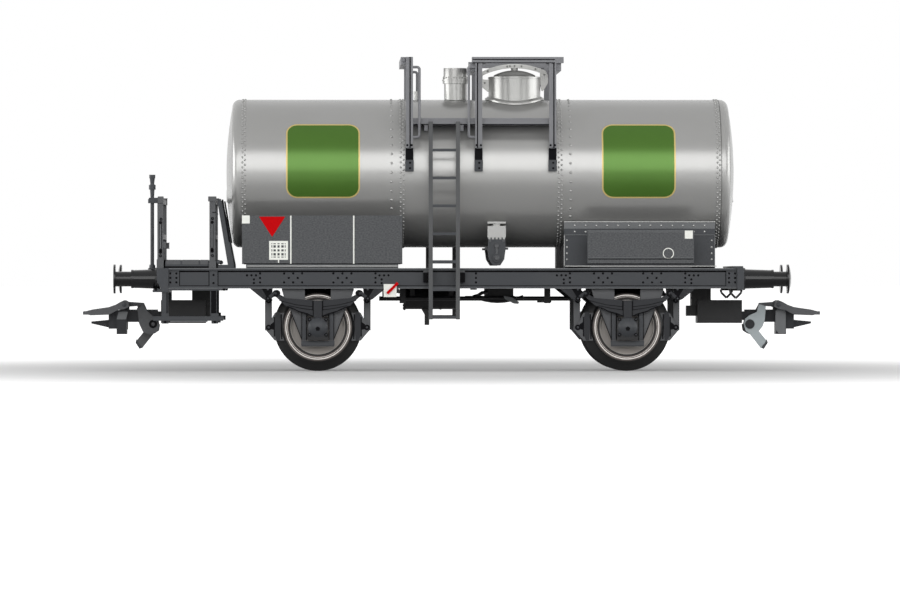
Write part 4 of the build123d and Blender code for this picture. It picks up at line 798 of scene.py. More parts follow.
def make_signs():
    """Blank rounded signs on both sides of the tank: a thin pale rim and a green field."""
    angle_middle = middle(SIGN_ANGLES)
    rows, columns = 40, 14
    for name, skin, inset, lifts in SIGN_LAYERS:
        half_width = SIGN_WIDTH / 2 - inset
        half_arc = (SIGN_ANGLES[1] - SIGN_ANGLES[0]) / 2 * TANK_RADIUS - inset
        corner = SIGN_CORNER - inset
        shape = Shape()
        for centre in SIGN_PLACES:
            for side in (-1, 1):
                def place(row, column, level, centre=centre, side=side):
                    along = half_arc * math.sin(math.pi / 2 * (2 * row / (rows - 1) - 1))
                    past = max(abs(along) - (half_arc - corner), 0.0)
                    reach = half_width - corner + math.sqrt(max(corner**2 - past**2, 0.0001))
                    x = centre + reach * (2 * column / (columns - 1) - 1)
                    return on_tank(x, angle_middle + along / TANK_RADIUS, lifts[level], side)
                shape.slab(rows, columns, place)
        shape.finish(name, skin, sharp=50)


def make_head_clips():
    """Small lamp clips on both tank heads."""
    blocks = []
    for face, way in zip(spans("tank_heads")[0], (1, -1)):
        x_span = sorted((face + way * 0.02, face + way * 0.7))
        blocks.append((x_span, (-0.9, 0.9), (TANK_Z - 4.3, TANK_Z - 3.95)))
        blocks.append((x_span, (-0.2, 0.2), (TANK_Z - 3.95, TANK_Z - 2.4)))
    block_piece("tank_head_clips", "bright_silver", blocks, soft=0.04)


# Dome, vent and outlet


def make_dome_rings():
    """The welds where the dome meets the tank, and the rim under its lid."""
    steps = 48
    shape = Shape()
    for reach, lift in ((4.12, 0.3), (3.98, 0.42)):
        weld = []
        for step in range(steps):
            angle = 2 * math.pi * step / steps
            y = reach * math.sin(angle)
            z = TANK_Z + math.sqrt((TANK_RADIUS + lift)**2 - y**2)
            weld.append((DOME_X + reach * math.cos(angle), y, z))
        shape.tube(weld, 0.09, 6, True)
    rim = ((3.87, -0.3), (3.95, -0.28), (3.95, -0.05), (3.6, 0.03), (3.3, 0.03))
    shape.turned((DOME_X, 0, spans("dome_lid")[2][0]), UP, rim, steps)
    shape.finish("dome_rings", "bright_silver", sharp=50)


BOW_RADIUS = 10.8
BOW_PEAK = 1.63
BOW_THICKNESS = 0.62
BOW_BOLTS = (-4.0, -1.1, -0.68, 0.0, 1.03, 3.1)
BOW_SCREW = ((0.0, 1.4), (0.5, 1.35), (0.53, 1.1), (0.45, 0.75), (0.0, 0.7))
BOW_LUGS = (  # outlines from the dome's axis and top
    ((-4.99, 0.45), (-4.78, 0.45), (-4.78, -0.4), (-3.8, -0.4), (-3.8, -2.2), (-3.96, -2.2), (-4.99, -1.4)),
    ((3.8, 1.15), (4.6, 0.95), (4.98, 0.3), (4.98, -0.9), (4.25, -2.1), (4.05, -2.1), (3.8, -0.9)),
)


def bow_height(reach):
    return DOME_TOP + BOW_PEAK - BOW_RADIUS + math.sqrt(BOW_RADIUS**2 - reach**2)


def make_bow():
    """The lid's clamping bow with its lugs and screw, in place of the plain one."""
    half = spans("dome_clamp")[1][1]
    reaches = [-4.95 + step * 9.35 / 14 for step in range(15)]
    outline = [(DOME_X + reach, bow_height(reach) + BOW_THICKNESS / 2) for reach in reaches]
    outline += [(DOME_X + reach, bow_height(reach) - BOW_THICKNESS / 2) for reach in reversed(reaches)]
    shape = Shape()
    shape.plate(outline, (-half, half))
    for lug in BOW_LUGS:
        shape.plate([(DOME_X + x, DOME_TOP + z) for x, z in lug], (-half + 0.05, half - 0.05))
    shape.turned((DOME_X, 0, DOME_TOP), UP, BOW_SCREW)
    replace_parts(shape.finish("clamping_bow", "bright_silver", soft=0.05, sharp=40), "dome_clamp")
    points = [(DOME_X + reach, -half, bow_height(reach)) for reach in BOW_BOLTS]
    points += [(DOME_X + x, -half + 0.05, DOME_TOP + z) for x, z in ((4.45, 0.35), (-4.45, -0.9))]
    head_piece("bow_bolts", "lid", points, 0.15, 0.07, BOLT_HEADS, 10)


VENT_RINGS = (  # upper edge, lower edge, radius, from the vent's top down
    (1.2, 1.62, 1.78),
    (1.7, 1.92, 1.95),
    (1.92, 2.2, 1.84),
)
VENT_KNURLS = 26


def make_vent_details():
    """Rings and knurls round the vent's cap, and a dark ring of painted shade in its groove."""
    top = spans("vent_stack")[2][1]
    axis = (VENT_X, 0, 0)
    shape = Shape()
    for upper, lower, radius in VENT_RINGS:
        shape.turned(axis, UP, square_ring(1.2, radius, top - upper, top - lower), 40)
    shape.finish("vent_rings", "bright_silver", sharp=50)
    angles = [2 * math.pi * step / VENT_KNURLS for step in range(VENT_KNURLS)]
    ways = [(math.cos(angle), math.sin(angle), 0) for angle in angles]
    points = [(VENT_X + 1.76 * x, 1.76 * y, top - 1.42) for x, y, _ in ways]
    head_piece("vent_knurls", "bright_silver", points, 0.15, 0.1, RIVET_HEADS, 6, ways, False, sharp=60)
    shape = Shape()
    shape.turned(axis, UP, square_ring(1.4, 1.69, top - 2.2, top - 2.33), 40)
    shape.finish("vent_groove_shade", "shade")


def make_outlet_details():
    """Teeth of the outlets' union nuts, and bosses and ribs on the valves."""
    (neck_left, neck_right), (neck_face, _), (neck_low, _) = spans("outlet_necks")
    valve_x, (valve_face, _), (_, valve_top) = spans("outlet_valves")
    body_face = valve_face + 0.35
    centre = middle(valve_x)
    teeth, inset = 5, 0.27
    pitch = (neck_right - neck_left - 2 * inset) / (teeth - 1)
    block_piece("outlet_teeth", "silver", [
        (about(neck_left + inset + step * pitch, 0.15), (neck_face - 0.06, neck_face + 0.2),
         (neck_low - 0.28, neck_low + 0.04)) for step in range(teeth)
    ], far=True, soft=0.02)
    bosses = (  # reach from the valve's middle, face, depth under its top, profile, sides
        (0.0, valve_face, 3.03, ((0.0, 0.14), (0.3, 0.14), (0.42, 0.0), (0.42, -0.2), (0.0, -0.2)), 28),
        (0.0, body_face, 1.25, ((0.0, 0.3), (0.28, 0.3), (0.36, 0.2), (0.36, -0.2), (0.0, -0.2)), 28),
        (-1.0, body_face, 0.5, ((0.0, 0.14), (0.2, 0.14), (0.22, -0.2), (0.0, -0.2)), 6),
        (1.0, body_face, 0.5, ((0.0, 0.14), (0.2, 0.14), (0.22, -0.2), (0.0, -0.2)), 6),
    )
    shape = Shape()
    for reach, face, depth, profile, sides in bosses:
        shape.turned((centre + reach, face, valve_top - depth), NEAR, profile, sides)
    shape.block(about(centre, 0.16), (body_face - 0.22, body_face + 0.1), (valve_top - 2.5, valve_top - 1.3))
    shape.finish("outlet_bosses", "gear", far=True)


# Railings, walkways and ladders


def make_railing_details():
    """Grooves, clips and bolts of the railing posts, and the lines along the top rails; the dark grooves,
    clip recesses, bolt heads and rail lines are painted shade.
    """
    fills, shades, pads, bolts = Shape(), Shape(), Shape(), []
    for (x, top), groove in zip(POSTS, (0.09, -0.19, 0.17)):
        fills.block(about(x, 0.22), (-POST_FACE + 0.03, -POST_FACE + 0.3), (CLIP_TOP + 0.1, top - 0.1))
        # Painted shade: a dark strip in each post's groove and a dark sheet in each clip's recess
        shades.block(about(x + groove, 0.09), proud(POST_FACE, 0.005), (CLIP_TOP, top))
        shades.block(about(x, 0.56), proud(WALK_FACE, 0.14, -0.05), (CLIP_MIDDLE, CLIP_TOP))
        pads.block(about(x, 0.62), (-POST_FACE + 0.34, -POST_FACE + 0.5), (CLIP_LOW - 0.02, CLIP_MIDDLE))
        fills.block(about(x, 0.3), proud(WALK_FACE, 0.25, 0), (CLIP_TOP - 0.08, CLIP_TOP + 0.5))
        bolts += [(x + 0.08, -POST_FACE + 0.34, z) for z in (CLIP_LOW + 0.42, CLIP_LOW + 1.22)]
        bolts += [(x + side, -POST_FACE, CLIP_TOP + 0.4) for side in (-0.32, 0.32)]
    for z_span in ((RAIL_LOW - 0.02, RAIL_LOW + 0.1), (RAIL_TOP - 0.46, RAIL_TOP - 0.31)):
        shades.block((RAIL_LEFT + 0.1, RAIL_RIGHT - 1.3), proud(POST_FACE, 0.02, 0.05), z_span)
    fills.finish("post_fillets", "railing", far=True)
    shades.finish("post_groove_shades", "shade", far=True)
    pads.finish("clip_pads", "frame", far=True, soft=0.04)
    head_piece("post_bolts", "shade", bolts, 0.17, 0.07, BOLT_HEADS)
    (tie_left, tie_right), (tie_face, _), (_, tie_top) = spans("railing_ties")
    ties = ((tie_left + 0.45, tie_face, tie_top - 0.45), (tie_right - 0.37, tie_face, tie_top - 0.5))
    head_piece("railing_bolts", "railing", ties, 0.34, 0.16, RIVET_HEADS, 14)
    gussets = Shape()
    for x, way in ((POSTS[1][0] + POST_WIDTH / 2, 1), (POSTS[2][0] - POST_WIDTH / 2, -1)):
        outline = ((x, RAIL_LOW - 0.6), (x + way * 0.6, RAIL_LOW), (x, RAIL_LOW))
        gussets.plate(outline, (-POST_FACE + 0.4, -POST_FACE + 0.6))
    gussets.finish("railing_gussets", "railing", far=True)


SLAT_WIDTH = 0.34
SLAT_PITCH = 0.5
SLAT_HEIGHT = 0.14
WALK_LIP = 0.15


def make_walkway_slats():
    """Cross slats on the walkways, with a lip along their outer edge."""
    inner = math.sqrt(TANK_RADIUS**2 - (WALK_TOP - TANK_Z)**2) + 0.35
    outer = WALK_FACE - WALK_LIP
    count = int((WALK_RIGHT - WALK_LEFT - 2 * WALK_LIP) / SLAT_PITCH)
    first = middle((WALK_LEFT, WALK_RIGHT)) - (count - 1) * SLAT_PITCH / 2
    walk_x = (WALK_LEFT, WALK_RIGHT)
    shape = Shape()
    shape.take(grown(SLAT_ROW, {
        "Count": count,
        "First": (first, -middle((inner, outer)), WALK_TOP + 0.05),
        "Pitch": (SLAT_PITCH, 0, 0),
        "Slat": (SLAT_WIDTH, outer - inner, SLAT_HEIGHT),
        "Skin": SKINS["railing"][0],
    }))
    shape.block(walk_x, proud(WALK_FACE, 0.05), (WALK_TOP - 0.16, WALK_TOP + 0.1))
    shape.finish("walkway_slats", "railing", far=True)
    shadow = (walk_x, proud(WALK_FACE, 0.02), (WALK_TOP - WALK_THICKNESS, WALK_TOP - 0.76))
    block_piece("walkway_shadow_edge", "shade", [shadow], far=True)


def make_ladder_details():
    """Dark strips of painted shade on the rungs, and dark blocks of painted shade where the ladders' feet
    meet the sills.
    """
    pitch = (WALK_TOP - WALK_THICKNESS - 3.95 - LADDER_LOW - 0.1) / 6
    lows = [LADDER_LOW + 0.09 + step * pitch for step in range(7)]
    treads = [(about(LADDER_X, 1.72), proud(LADDER_FACE, 0.03), (low, low + 0.42)) for low in lows]
    block_piece("rung_shades", "frame", treads, far=True)
    block_piece("ladder_foot_shades", "shade", [
        (about(LADDER_X + side * 2.63, 0.45), proud(SILL_FACE, 0.3, 0.2), (SILL_LOW + 0.88, SILL_TOP - 0.64))
        for side in (-1, 1)
    ], far=True, soft=0.08)


# Boards, saddles and sills

GRID_SIDE = 2.78
GRID_LINES = (0.34, 0.15, 0.24, 0.24, 0.15, 0.34)


def make_board_marks():
    """Blank marks on the boards: squares, a triangle, lines, a grid and a ring."""
    (left_x, left_end), _, (_, left_top) = spans("boards_left")
    right_x, _, (right_low, right_top) = spans("boards_right")
    right_start, right_end = right_x
    left_low = left_top - 7.15
    right_low += 0.6
    face = proud(SILL_FACE, 0.03, 0.05)
    grid_face = (face[0] - 0.002, face[1])
    shadow_face = (face[0] + 0.01, face[1])
    foot_face = proud(SILL_FACE, 0.04, 0.2)
    marks = Shape()
    marks.block((left_x, left_x + 1.14), face, (left_top - 1.18, left_top))
    for x in (left_x + 7.18, left_x + 16.44):
        marks.block(about(x, 0.1), face, (left_low + 0.05, left_top - 0.02))
    grid_x, grid_z = left_x + 3.99, left_low + 0.62
    for line, width in enumerate(GRID_LINES):
        place = min(max(GRID_SIDE * line / (len(GRID_LINES) - 1), 0.17), GRID_SIDE - 0.17)
        marks.block(about(grid_x + place, width / 2), face, (grid_z, grid_z + GRID_SIDE))
        marks.block((grid_x, grid_x + GRID_SIDE), grid_face, about(grid_z + place, width / 2))
    marks.block((grid_x + 1.3, grid_x + 1.48), face, (grid_z - 0.42, grid_z + 0.1))
    marks.block((right_end - 1.36, right_end - 0.18), face, (right_top - 1.25, right_top - 0.06))
    ring_place = (right_end - 3.78, face[0], right_low + 1.57)
    marks.turned(ring_place, (0, 1, 0), square_ring(0.69, 0.82, 0, 0.06), 40)
    marks.finish("board_marks", "white", far=True)
    top = left_top - 0.17
    triangle = Shape()
    triangle.plate(((left_x + 2.5, top), (left_x + 6.36, top), (left_x + 4.43, top - 3.0)), face)
    triangle.finish("board_triangles", "red", far=True)
    inner_x = (right_start + 0.1, right_end - 0.1)
    # The foot plates under the right boards are a dim sheet of painted shade
    block_piece("board_foot_shades", "dim", [
        ((right_start + 0.4, right_end - 0.45), foot_face, (SILL_TOP, right_low - 0.02)),
    ], far=True)
    # Light lines along the boards' edges: painted highlight
    block_piece("board_highlight_edges", "edge", [
        ((left_x + 0.75, left_end - 0.7), foot_face, (SILL_TOP + 0.22, SILL_TOP + 0.5)),
        (right_x, face, (right_top - 0.07, right_top)),
        ((right_start + 0.2, right_end - 1.4), face, (right_top - 0.3, right_top - 0.22)),
        (inner_x, face, (right_low + 0.85, right_low + 0.93)),
    ], far=True)
    block_piece("board_shadow_lines", "shade", [
        (inner_x, face, (right_low + 0.68, right_low + 0.82)),
        ((left_x, left_end), shadow_face, (left_low, left_low + 0.1)),
        (right_x, shadow_face, (right_low, right_low + 0.1)),
    ], far=True)


FLANGE_PITCH = 1.6
SADDLE_RIVETS = (1.3, 2.2, 3.1, 4.1, 5.3)


def make_saddle_details():
    """Riveted flanges of the saddles along the tank and along the deck."""
    flanges, lips, steps, edges, points = Shape(), Shape(), Shape(), Shape(), []
    for end in ("left", "right"):
        (left, right), (near, _), (low, top) = spans(f"saddle_{end}")
        whole = (left, right)
        flanges.block(whole, (near - 0.08, near + 0.2), (top - 1.07, top - 0.06))
        lips.block(whole, (near - 0.2, near + 0.1), (top - 0.1, top + 0.03))
        steps.block(whole, (near - 0.14, near + 0.2), (top - 2.0, top - 1.12))
        edges.block(whole, (near - 0.16, near + 0.2), (top - 2.02, top - 1.94))
        lips.block((left + 0.15, right), (-SILL_FACE - 0.08, near + 0.2), (low + 0.24, low + 0.36))
        lips.block((left, left + 0.09), (near - 0.06, near + 0.1), (low + 0.3, top - 2.0))
        edges.block((right - 0.1, right), (near - 0.06, near + 0.1), (low + 0.2, top - 2.0))
        count = int((right - left) / FLANGE_PITCH)
        for step in range(count):
            x = middle(whole) + (step - (count - 1) / 2) * FLANGE_PITCH
            points += [(x, near - 0.08, top - 0.6), (x, near - 0.14, top - 1.5)]
        points += [(x, near, low + z) for x in (left + 0.42, right - 0.5) for z in SADDLE_RIVETS]
    # The flanges and edges wear the lighter grey of painted light: the flange band stands for silver paint in
    # shade, and the thin edges are painted highlight
    flanges.finish("saddle_flanges", "edge", far=True)
    lips.finish("saddle_lips", "silver", far=True)
    stay_z = (low - 0.1, TANK_LOW + 0.3)
    block_piece("saddle_stays", "black", [
        ((left - 0.95, left - 0.35), (-2.5, -1.5), stay_z),
        ((left - 0.2, left + 0.15), (-2.5, -1.5), stay_z),
    ], far=True)
    steps.finish("saddle_steps", "frame", far=True, soft=0.03)
    edges.finish("saddle_highlight_edges", "edge", far=True)
    head_piece("saddle_rivets", "silver", points, 0.16, 0.1)


SILL_ROWS = (0.9, 1.56, 2.22)
AXLE_RIVETS = (  # reach from the axle, heights above the sill's underside
    (2.3, (SILL_ROWS[0], SILL_ROWS[2])),
    (2.95, (SILL_ROWS[1],)),
    (3.62, (SILL_ROWS[0], SILL_ROWS[2])),
    (4.27, (SILL_ROWS[1],)),
    (4.95, (SILL_ROWS[0], SILL_ROWS[2])),
    (8.5, SILL_ROWS),
    (9.1, (1.94,)),
    (9.4, (0.8, 1.34)),
    (9.76, (1.94,)),
    (10.42, (1.94,)),
)
MIDDLE_RIVETS_X = 3.4
STRAP_X = spans("platform_posts")[0][1] - 0.9
STRAP_HALF = 0.66


def make_sill_details():
    """Rivets, shadow lines and light edges of the sills: dark rivet heads and shadow lines of painted shade,
    and light edges of painted highlight.
    """
    plate_face = -SILL_WEB - 0.2
    points = [
        (axle_x + way * reach, -SILL_WEB, SILL_LOW + z)
        for axle_x in AXLES.values() for reach, heights in AXLE_RIVETS for way in (-1, 1) for z in heights
    ]
    for x in (SILL_LEFT + 0.3, SILL_LEFT + 1.2, SILL_RIGHT - 1.2, SILL_RIGHT - 0.3):
        points += [(x, plate_face, SILL_LOW + z) for z in SILL_ROWS]
    points += [(MIDDLE_RIVETS_X, -SILL_WEB, SILL_LOW + z) for z in SILL_ROWS]
    points += [(STRAP_X, plate_face, SILL_LOW + z) for z in (0.8, 2.0)]
    head_piece("sill_rivets", "shade", points, 0.17, 0.1, RIVET_HEADS, 10, sharp=60)
    sill_x = (SILL_LEFT, SILL_RIGHT)
    web = (SILL_LOW + SILL_FLANGE, SILL_TOP - SILL_FLANGE)
    face = proud(SILL_WEB, 0.02, 0.05)
    seams = (SILL_LEFT + 1.65, SILL_RIGHT - 1.65, STRAP_X - STRAP_HALF, STRAP_X + STRAP_HALF)
    lines = [(sill_x, face, (web[1] - 0.24, web[1])), (sill_x, face, (web[0], web[0] + 0.1))]
    lines += [(about(x, 0.06), face, web) for x in seams]
    block_piece("sill_shadow_lines", "shade", lines, far=True)
    edges = [(sill_x, proud(SILL_FACE, 0.02), (z, z + 0.1)) for z in (SILL_LOW, SILL_TOP - 0.1)]
    block_piece("sill_highlight_edges", "edge", edges, far=True)


# Running gear

LEAF_LINES = (  # reach from the axle and height above it, from the outer end to the buckle
    ((5.67, 3.98), (3.2, 3.35), (0.72, 3.05)),
    ((4.3, 3.22), (2.4, 2.82), (0.72, 2.6)),
    ((4.46, 3.12), (3.39, 2.72), (2.87, 2.42), (1.52, 2.06), (0.72, 1.7)),
)
SHACKLE_SHADE = ((6.8, 5.75), (8.3, 5.75), (7.55, 4.5), (6.95, 4.6))
SHACKLE_LINK = ((6.3, 5.35), (6.5, 4.75), (7.2, 4.0), (7.5, 4.4))
SHACKLE_BAR = ((8.75, 5.7), (7.6, 4.3))


def make_spring_details():
    """Leaves, buckle, eyes, shackles and pins of the springs, in the darker frame plastic that paints shade,
    with painted shade in dark lines under the leaves, beside the buckle and round the pins.
    """
    leaves, lines, links, eyes, pins = Shape(), Shape(), Shape(), [], []
    front = proud(SPRING_FACE, 0.03, 0.2)
    for axle_x, side in AXLE_SIDES:
        for path in LEAF_LINES[:2]:
            line_along(lines, beside(axle_x, side, path), 0.09, front)
        line_along(lines, beside(axle_x, side, LEAF_LINES[2]), 0.16, proud(SPRING_FACE, 0.01, 0.8))
        upper = [(x, z - 0.13) for x, z in LEAF_LINES[1]]
        leaf = beside(axle_x, side, upper + list(reversed(LEAF_LINES[2])))
        leaves.plate(leaf, proud(SPRING_FACE, 0.05, 0.8))
        lines.block(about(axle_x + side * 0.71, 0.09), front, (AXLE_Z + 1.8, AXLE_Z + 3.9))
        lines.plate(beside(axle_x, side, SHACKLE_SHADE), front)
        links.plate(beside(axle_x, side, SHACKLE_LINK), proud(SPRING_FACE, 0.12, 0))
        line_along(links, beside(axle_x, side, SHACKLE_BAR), 0.14, proud(SPRING_FACE, 0.1, 0))
        eyes.append((axle_x + side * 6.2, -SPRING_FACE, AXLE_Z + 4.97))
        pins += [(axle_x + side * 7.35, -SPRING_FACE - 0.1, AXLE_Z + z) for z in (4.22, 5.55)]
    leaves.finish("spring_leaves", "dim", far=True)
    lines.finish("spring_shade_lines", "shade", far=True)
    links.finish("shackle_links", "dim", far=True, soft=0.02)
    pin_pieces("spring_eyes", eyes, 0.5, "dim")
    pin_pieces("shackle_pins", pins, 0.34, "frame")


STAR_REACH = 0.36
GUIDE_FACE = proud(GUARD_FACE, 0.12, 0.3)


def make_axle_box_details():
    """Bolts, inset, star mark and guides of the axle boxes; the dark inset on each box's face and the dark
    lines beside the guides are painted shade.
    """
    bolts, marks, guides, insets = [], Shape(), Shape(), Shape()
    inset_face = -BOX_FACE - 0.04
    for axle_x in AXLES.values():
        bolts += [(axle_x + x, inset_face, AXLE_Z + z) for x in (-1.22, 1.22) for z in (-1.12, 1.15)]
        insets.block(about(axle_x, 1.56), proud(BOX_FACE, 0.04), (AXLE_Z - 1.92, AXLE_Z + 1.42))
        angles = [2 * math.pi * step / 5 for step in range(5)]
        star = [
            (axle_x + STAR_REACH * math.sin(angle), AXLE_Z - 0.22 + STAR_REACH * math.cos(angle))
            for angle in angles
        ]
        marks.plate(star, proud(CAP_FACE, 0.03, 0.15))
        guides.block(about(axle_x, 2.46), GUIDE_FACE, (AXLE_Z - 2.74, AXLE_Z - 2.02))
        for side in (-1, 1):
            guides.block(about(axle_x + side * 2.0, 0.28), GUIDE_FACE, (AXLE_Z - 1.85, AXLE_Z + 2.2))
            for reach in (1.64, 2.36):
                marks.block(about(axle_x + side * reach, 0.05), proud(GUARD_FACE, 0.02),
                            (AXLE_Z - 1.95, AXLE_Z + 2.3))
    marks.finish("axle_box_marks", "shade", far=True)
    insets.finish("axle_box_shade_insets", "black", far=True)
    guides.finish("axle_box_guides", "frame", far=True, soft=0.04)
    pin_pieces("axle_box_bolts", bolts, 0.27, "frame")


# Outlines from an axle, on its right side
GUARD_PLATE = ((1.95, 5.6), (5.3, 5.6), (4.9, 4.25), (1.95, 3.75))
GUARD_CUT = ((4.03, 2.6), (3.18, 0.4), (2.43, -1.5))
SHOE = ((5.62, 2.2), (6.1, 2.2), (6.3, 1.4), (6.3, -1.2), (6.0, -1.9), (5.62, -1.9), (5.5, -0.6), (5.45, 0.8))
SHOE_GAPS = (
    (((6.32, 1.5), (6.5, 1.5), (6.5, -1.4), (6.32, -1.4)), 0.03),
    (((5.3, 1.9), (5.5, 1.9), (5.4, -1.8), (5.2, -1.8)), 0.03),
    (((6.5, 0.75), (6.98, 0.4), (6.9, -0.3), (6.5, -0.4)), 0.02),
)


def make_guard_details():
    """Painted shade along the cut edges of the axle guards, and the plates under the sills beside them."""
    plates, lines = Shape(), Shape()
    for axle_x, side in AXLE_SIDES:
        plates.plate(beside(axle_x, side, GUARD_PLATE), proud(GUARD_FACE, 0.06, 0.2))
        line_along(lines, beside(axle_x, side, GUARD_CUT), 0.3, proud(GUARD_FACE, 0.005))
    plates.finish("guard_plates", "gear", far=True, soft=0.03)
    lines.finish("guard_cut_shades", "shade", far=True)


def make_brake_details():
    """Pins of the hangers, and faces and gaps of the blocks: the faces in the darker plastic and the gaps in
    near black, both painted shade.
    """
    pins, faces, gaps = [], Shape(), Shape()
    front = spans("brakes_left")[1][1]
    for axle_x, side in AXLE_SIDES:
        pins += [(axle_x + side * 7.25, -front, AXLE_Z + z) for z in (-0.05, 3.95)]
        faces.plate(beside(axle_x, side, SHOE), proud(front, 0.12))
        for gap, out in SHOE_GAPS:
            gaps.plate(beside(axle_x, side, gap), proud(front, out))
    pin_pieces("hanger_pins", pins, 0.42, "frame")
    faces.finish("brake_block_faces", "dim", far=True, soft=0.04)
    gaps.finish("brake_block_gap_shades", "shade", far=True)


# Places between the axles, from the wagon's middle and the rail
ROD_Y = -2.9
ROD_BEND = ((3.3, -2.8, 11.0), (3.9, -2.8, 11.15), (4.5, -2.8, 11.55), (5.3, -2.8, 11.65))
ROD_CLAMP = ((7.7, 11.1), (8.9, 10.9), (10.0, 10.2), (9.9, 9.9), (9.2, 9.95), (7.9, 10.6))
RELEASE_HOOK = (
    (-9.0, 12.3), (-8.5, 12.55), (-7.9, 12.1), (-7.75, 11.5), (-8.05, 11.45), (-8.25, 11.95), (-8.8, 12.0),
)
CYLINDER_Z = 10.7
CYLINDER_X = spans("brake_rigging")[0][0] + 7.85
CYLINDER_BANDS = (  # place, width, radius
    (-4.2, 0.3, 1.75),
    (-1.0, 0.25, 1.68),
    (1.2, 0.25, 1.68),
    (3.9, 0.3, 1.75),
)


def make_brake_rods():
    """Rods, clamp and hooks of the brake under the frame."""
    shape = Shape()
    rod = middle(spans("brake_rigging")[0])
    heights = [11.0 - 0.75 * math.sin(math.pi * step / 8) for step in range(9)]
    shape.tube([(rod - 0.4 + step * 0.95, ROD_Y, height) for step, height in enumerate(heights)], 0.24, 8)
    shape.tube(ROD_BEND, 0.26, 8)
    shape.block((2.75, 3.65), (-6.5, -2.2), (12.0, 12.9))
    shape.block((12.75, 14.85), (-1.7, -0.9), (10.1, 10.6))
    shape.finish("brake_pull_rods", "black")
    shape = Shape()
    shape.plate(ROD_CLAMP, (-3.5, -3.1))
    shape.finish("brake_rod_clamp", "edge", soft=0.05)
    shape = Shape()
    shape.plate(RELEASE_HOOK, (-12.45, -12.25))
    shape.finish("release_hooks", "black", far=True)


def make_cylinder_details():
    """Bands and end bolts of the brake cylinder."""
    shape = Shape()
    for x, width, radius in CYLINDER_BANDS:
        shape.turned((CYLINDER_X + x, 0, CYLINDER_Z), ALONG, square_ring(1.2, radius, 0, width), 32)
    shape.finish("cylinder_bands", "black", sharp=40)
    angles = [2 * math.pi * step / 8 for step in range(8)]
    end = CYLINDER_X + CYLINDER_BANDS[0][0]
    points = [(end, 1.45 * math.cos(angle), CYLINDER_Z + 1.45 * math.sin(angle)) for angle in angles]
    head_piece("cylinder_bolts", "black", points, 0.16, 0.1, BOLT_HEADS, 6, (-1, 0, 0), False)


# Platform end

SLOT_Z = (18.1, 21.7)


def make_platform_posts():
    """Platform posts with their slots, bolts and pads, in place of the plain ones; light lines by the slots
    are painted highlight, and the dark slots and lines painted shade.
    """
    (left, right), (_, face), (low, high) = spans("platform_posts")
    face -= 0.25
    top = high - 0.35
    front, back = -face, -face + 0.95
    left_slot, right_slot = left + 0.72, right - 1.08
    shape, edges, shades = Shape(), Shape(), Shape()
    blocks = (  # left, right, step out from the post's front, step in from its back, bottom, top
        (left + 0.25, left + 1.07, 0, 0, low, top),
        (left + 0.3, left + 1.17, 0.22, 0, 24.76, high),
        (left + 0.15, left + 1.17, 0.14, 0, low, low + 1.3),
        (left + 1.02, left + 1.47, -0.1, 0.1, 18.15, 19.07),
        (right - 1.49, right - 0.61, 0, 0, low, top),
        (right - 1.68, right - 0.47, 0.22, 0, 25.02, high),
        (right - 1.55, right - 0.51, 0.14, 0, low, low + 1.0),
    )
    for start, stop, out, short, bottom, end in blocks:
        shape.block((start, stop), (front - out, back - short), (bottom, end))
    for x in (left_slot, right_slot):
        edges.block((x - 0.12, x + 0.06), proud(face, 0.02), SLOT_Z)
        shades.block((x + 0.06, x + 0.17), proud(face, 0.025), SLOT_Z)
        shades.block((x - 0.2, x - 0.12), proud(face, 0.025), SLOT_Z)
    shades.block((right - 1.05, right - 0.55), proud(face, 0.03, 0.2), (23.32, 23.46))
    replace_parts(shape.finish("platform_post_frames", "gear", far=True, soft=0.04), "platform_posts")
    edges.finish("platform_post_highlights", "edge", far=True)
    shades.finish("platform_post_shades", "shade", far=True)
    slots = [(left_slot, front, z) for z in (21.9, 17.85, 17.55)]
    slots += [(right_slot, front, z) for z in (21.95, 17.95, 17.7)]
    head_piece("platform_post_slot_shades", "shade", slots, 0.24, 0.1, BOLT_HEADS, 12)
    small = ((left + 0.8, 22.4), (left_slot, 17.0), (right - 1.05, 22.5), (right - 1.05, 17.05))
    pin_pieces("platform_post_bolts", [(x, front, z) for x, z in small], 0.22, "frame")
    head_piece("brace_bolts", "frame", [(right - 0.15, front, 16.1)], 0.33, 0.2, RIVET_HEADS, 12)


PLANK_JOINTS = (-39.98, -37.31)
BRACE_SHADE = ((-34.05, 25.3), (-33.8, 25.3), (-32.75, 19.0), (-33.0, 19.0))


def make_platform_floor_details():
    """Planks of the platform and the dark lines beside and under it."""
    low, high = PLATFORM_X
    bottom, top = PLATFORM_Z
    ends = (low, *PLANK_JOINTS, high)
    width = (-PLATFORM_FACE - 0.05, PLATFORM_FACE + 0.05)
    block_piece("platform_planks", "gear", [
        ((start + 0.12, stop - 0.12), width, (top - 0.5, top + 0.18)) for start, stop in zip(ends, ends[1:])
    ], soft=0.04)
    shape = Shape()
    shape.block((low - 0.02, high), proud(PLATFORM_FACE, 0.02), (bottom, bottom + 0.28))
    shape.plate(BRACE_SHADE, proud(spans("platform_braces")[1][1], 0.01))
    shape.finish("platform_shadow_lines", "shade", far=True)


def make_spindle_details():
    """Flared handle, joint and bearing of the hand brake."""
    (left, _), spindle_y, (_, top) = spans("brake_spindle")
    x, y = left + 0.6, middle(spindle_y)
    handle = ((0.0, -0.02), (0.42, -0.02), (0.44, -0.15), (0.3, -1.25), (0.0, -1.3))
    joint = (
        (0.0, -1.2), (0.28, -1.25), (0.36, -1.55), (0.28, -1.85), (0.34, -2.2), (0.28, -3.2), (0.0, -3.3),
    )
    bearing = ((0.0, 0.6), (0.42, 0.5), (0.5, -0.4), (0.0, -0.5))
    shape = Shape()
    shape.turned((x, y, top), UP, handle)
    shape.turned((x, y, top), UP, joint)
    shape.block((x - 0.5, x + 0.9), about(y, 0.45), (top - 4.15, top - 3.4))
    shape.turned((x, y, SILL_TOP), UP, bearing)
    shape.finish("spindle_fittings", "frame", sharp=40)


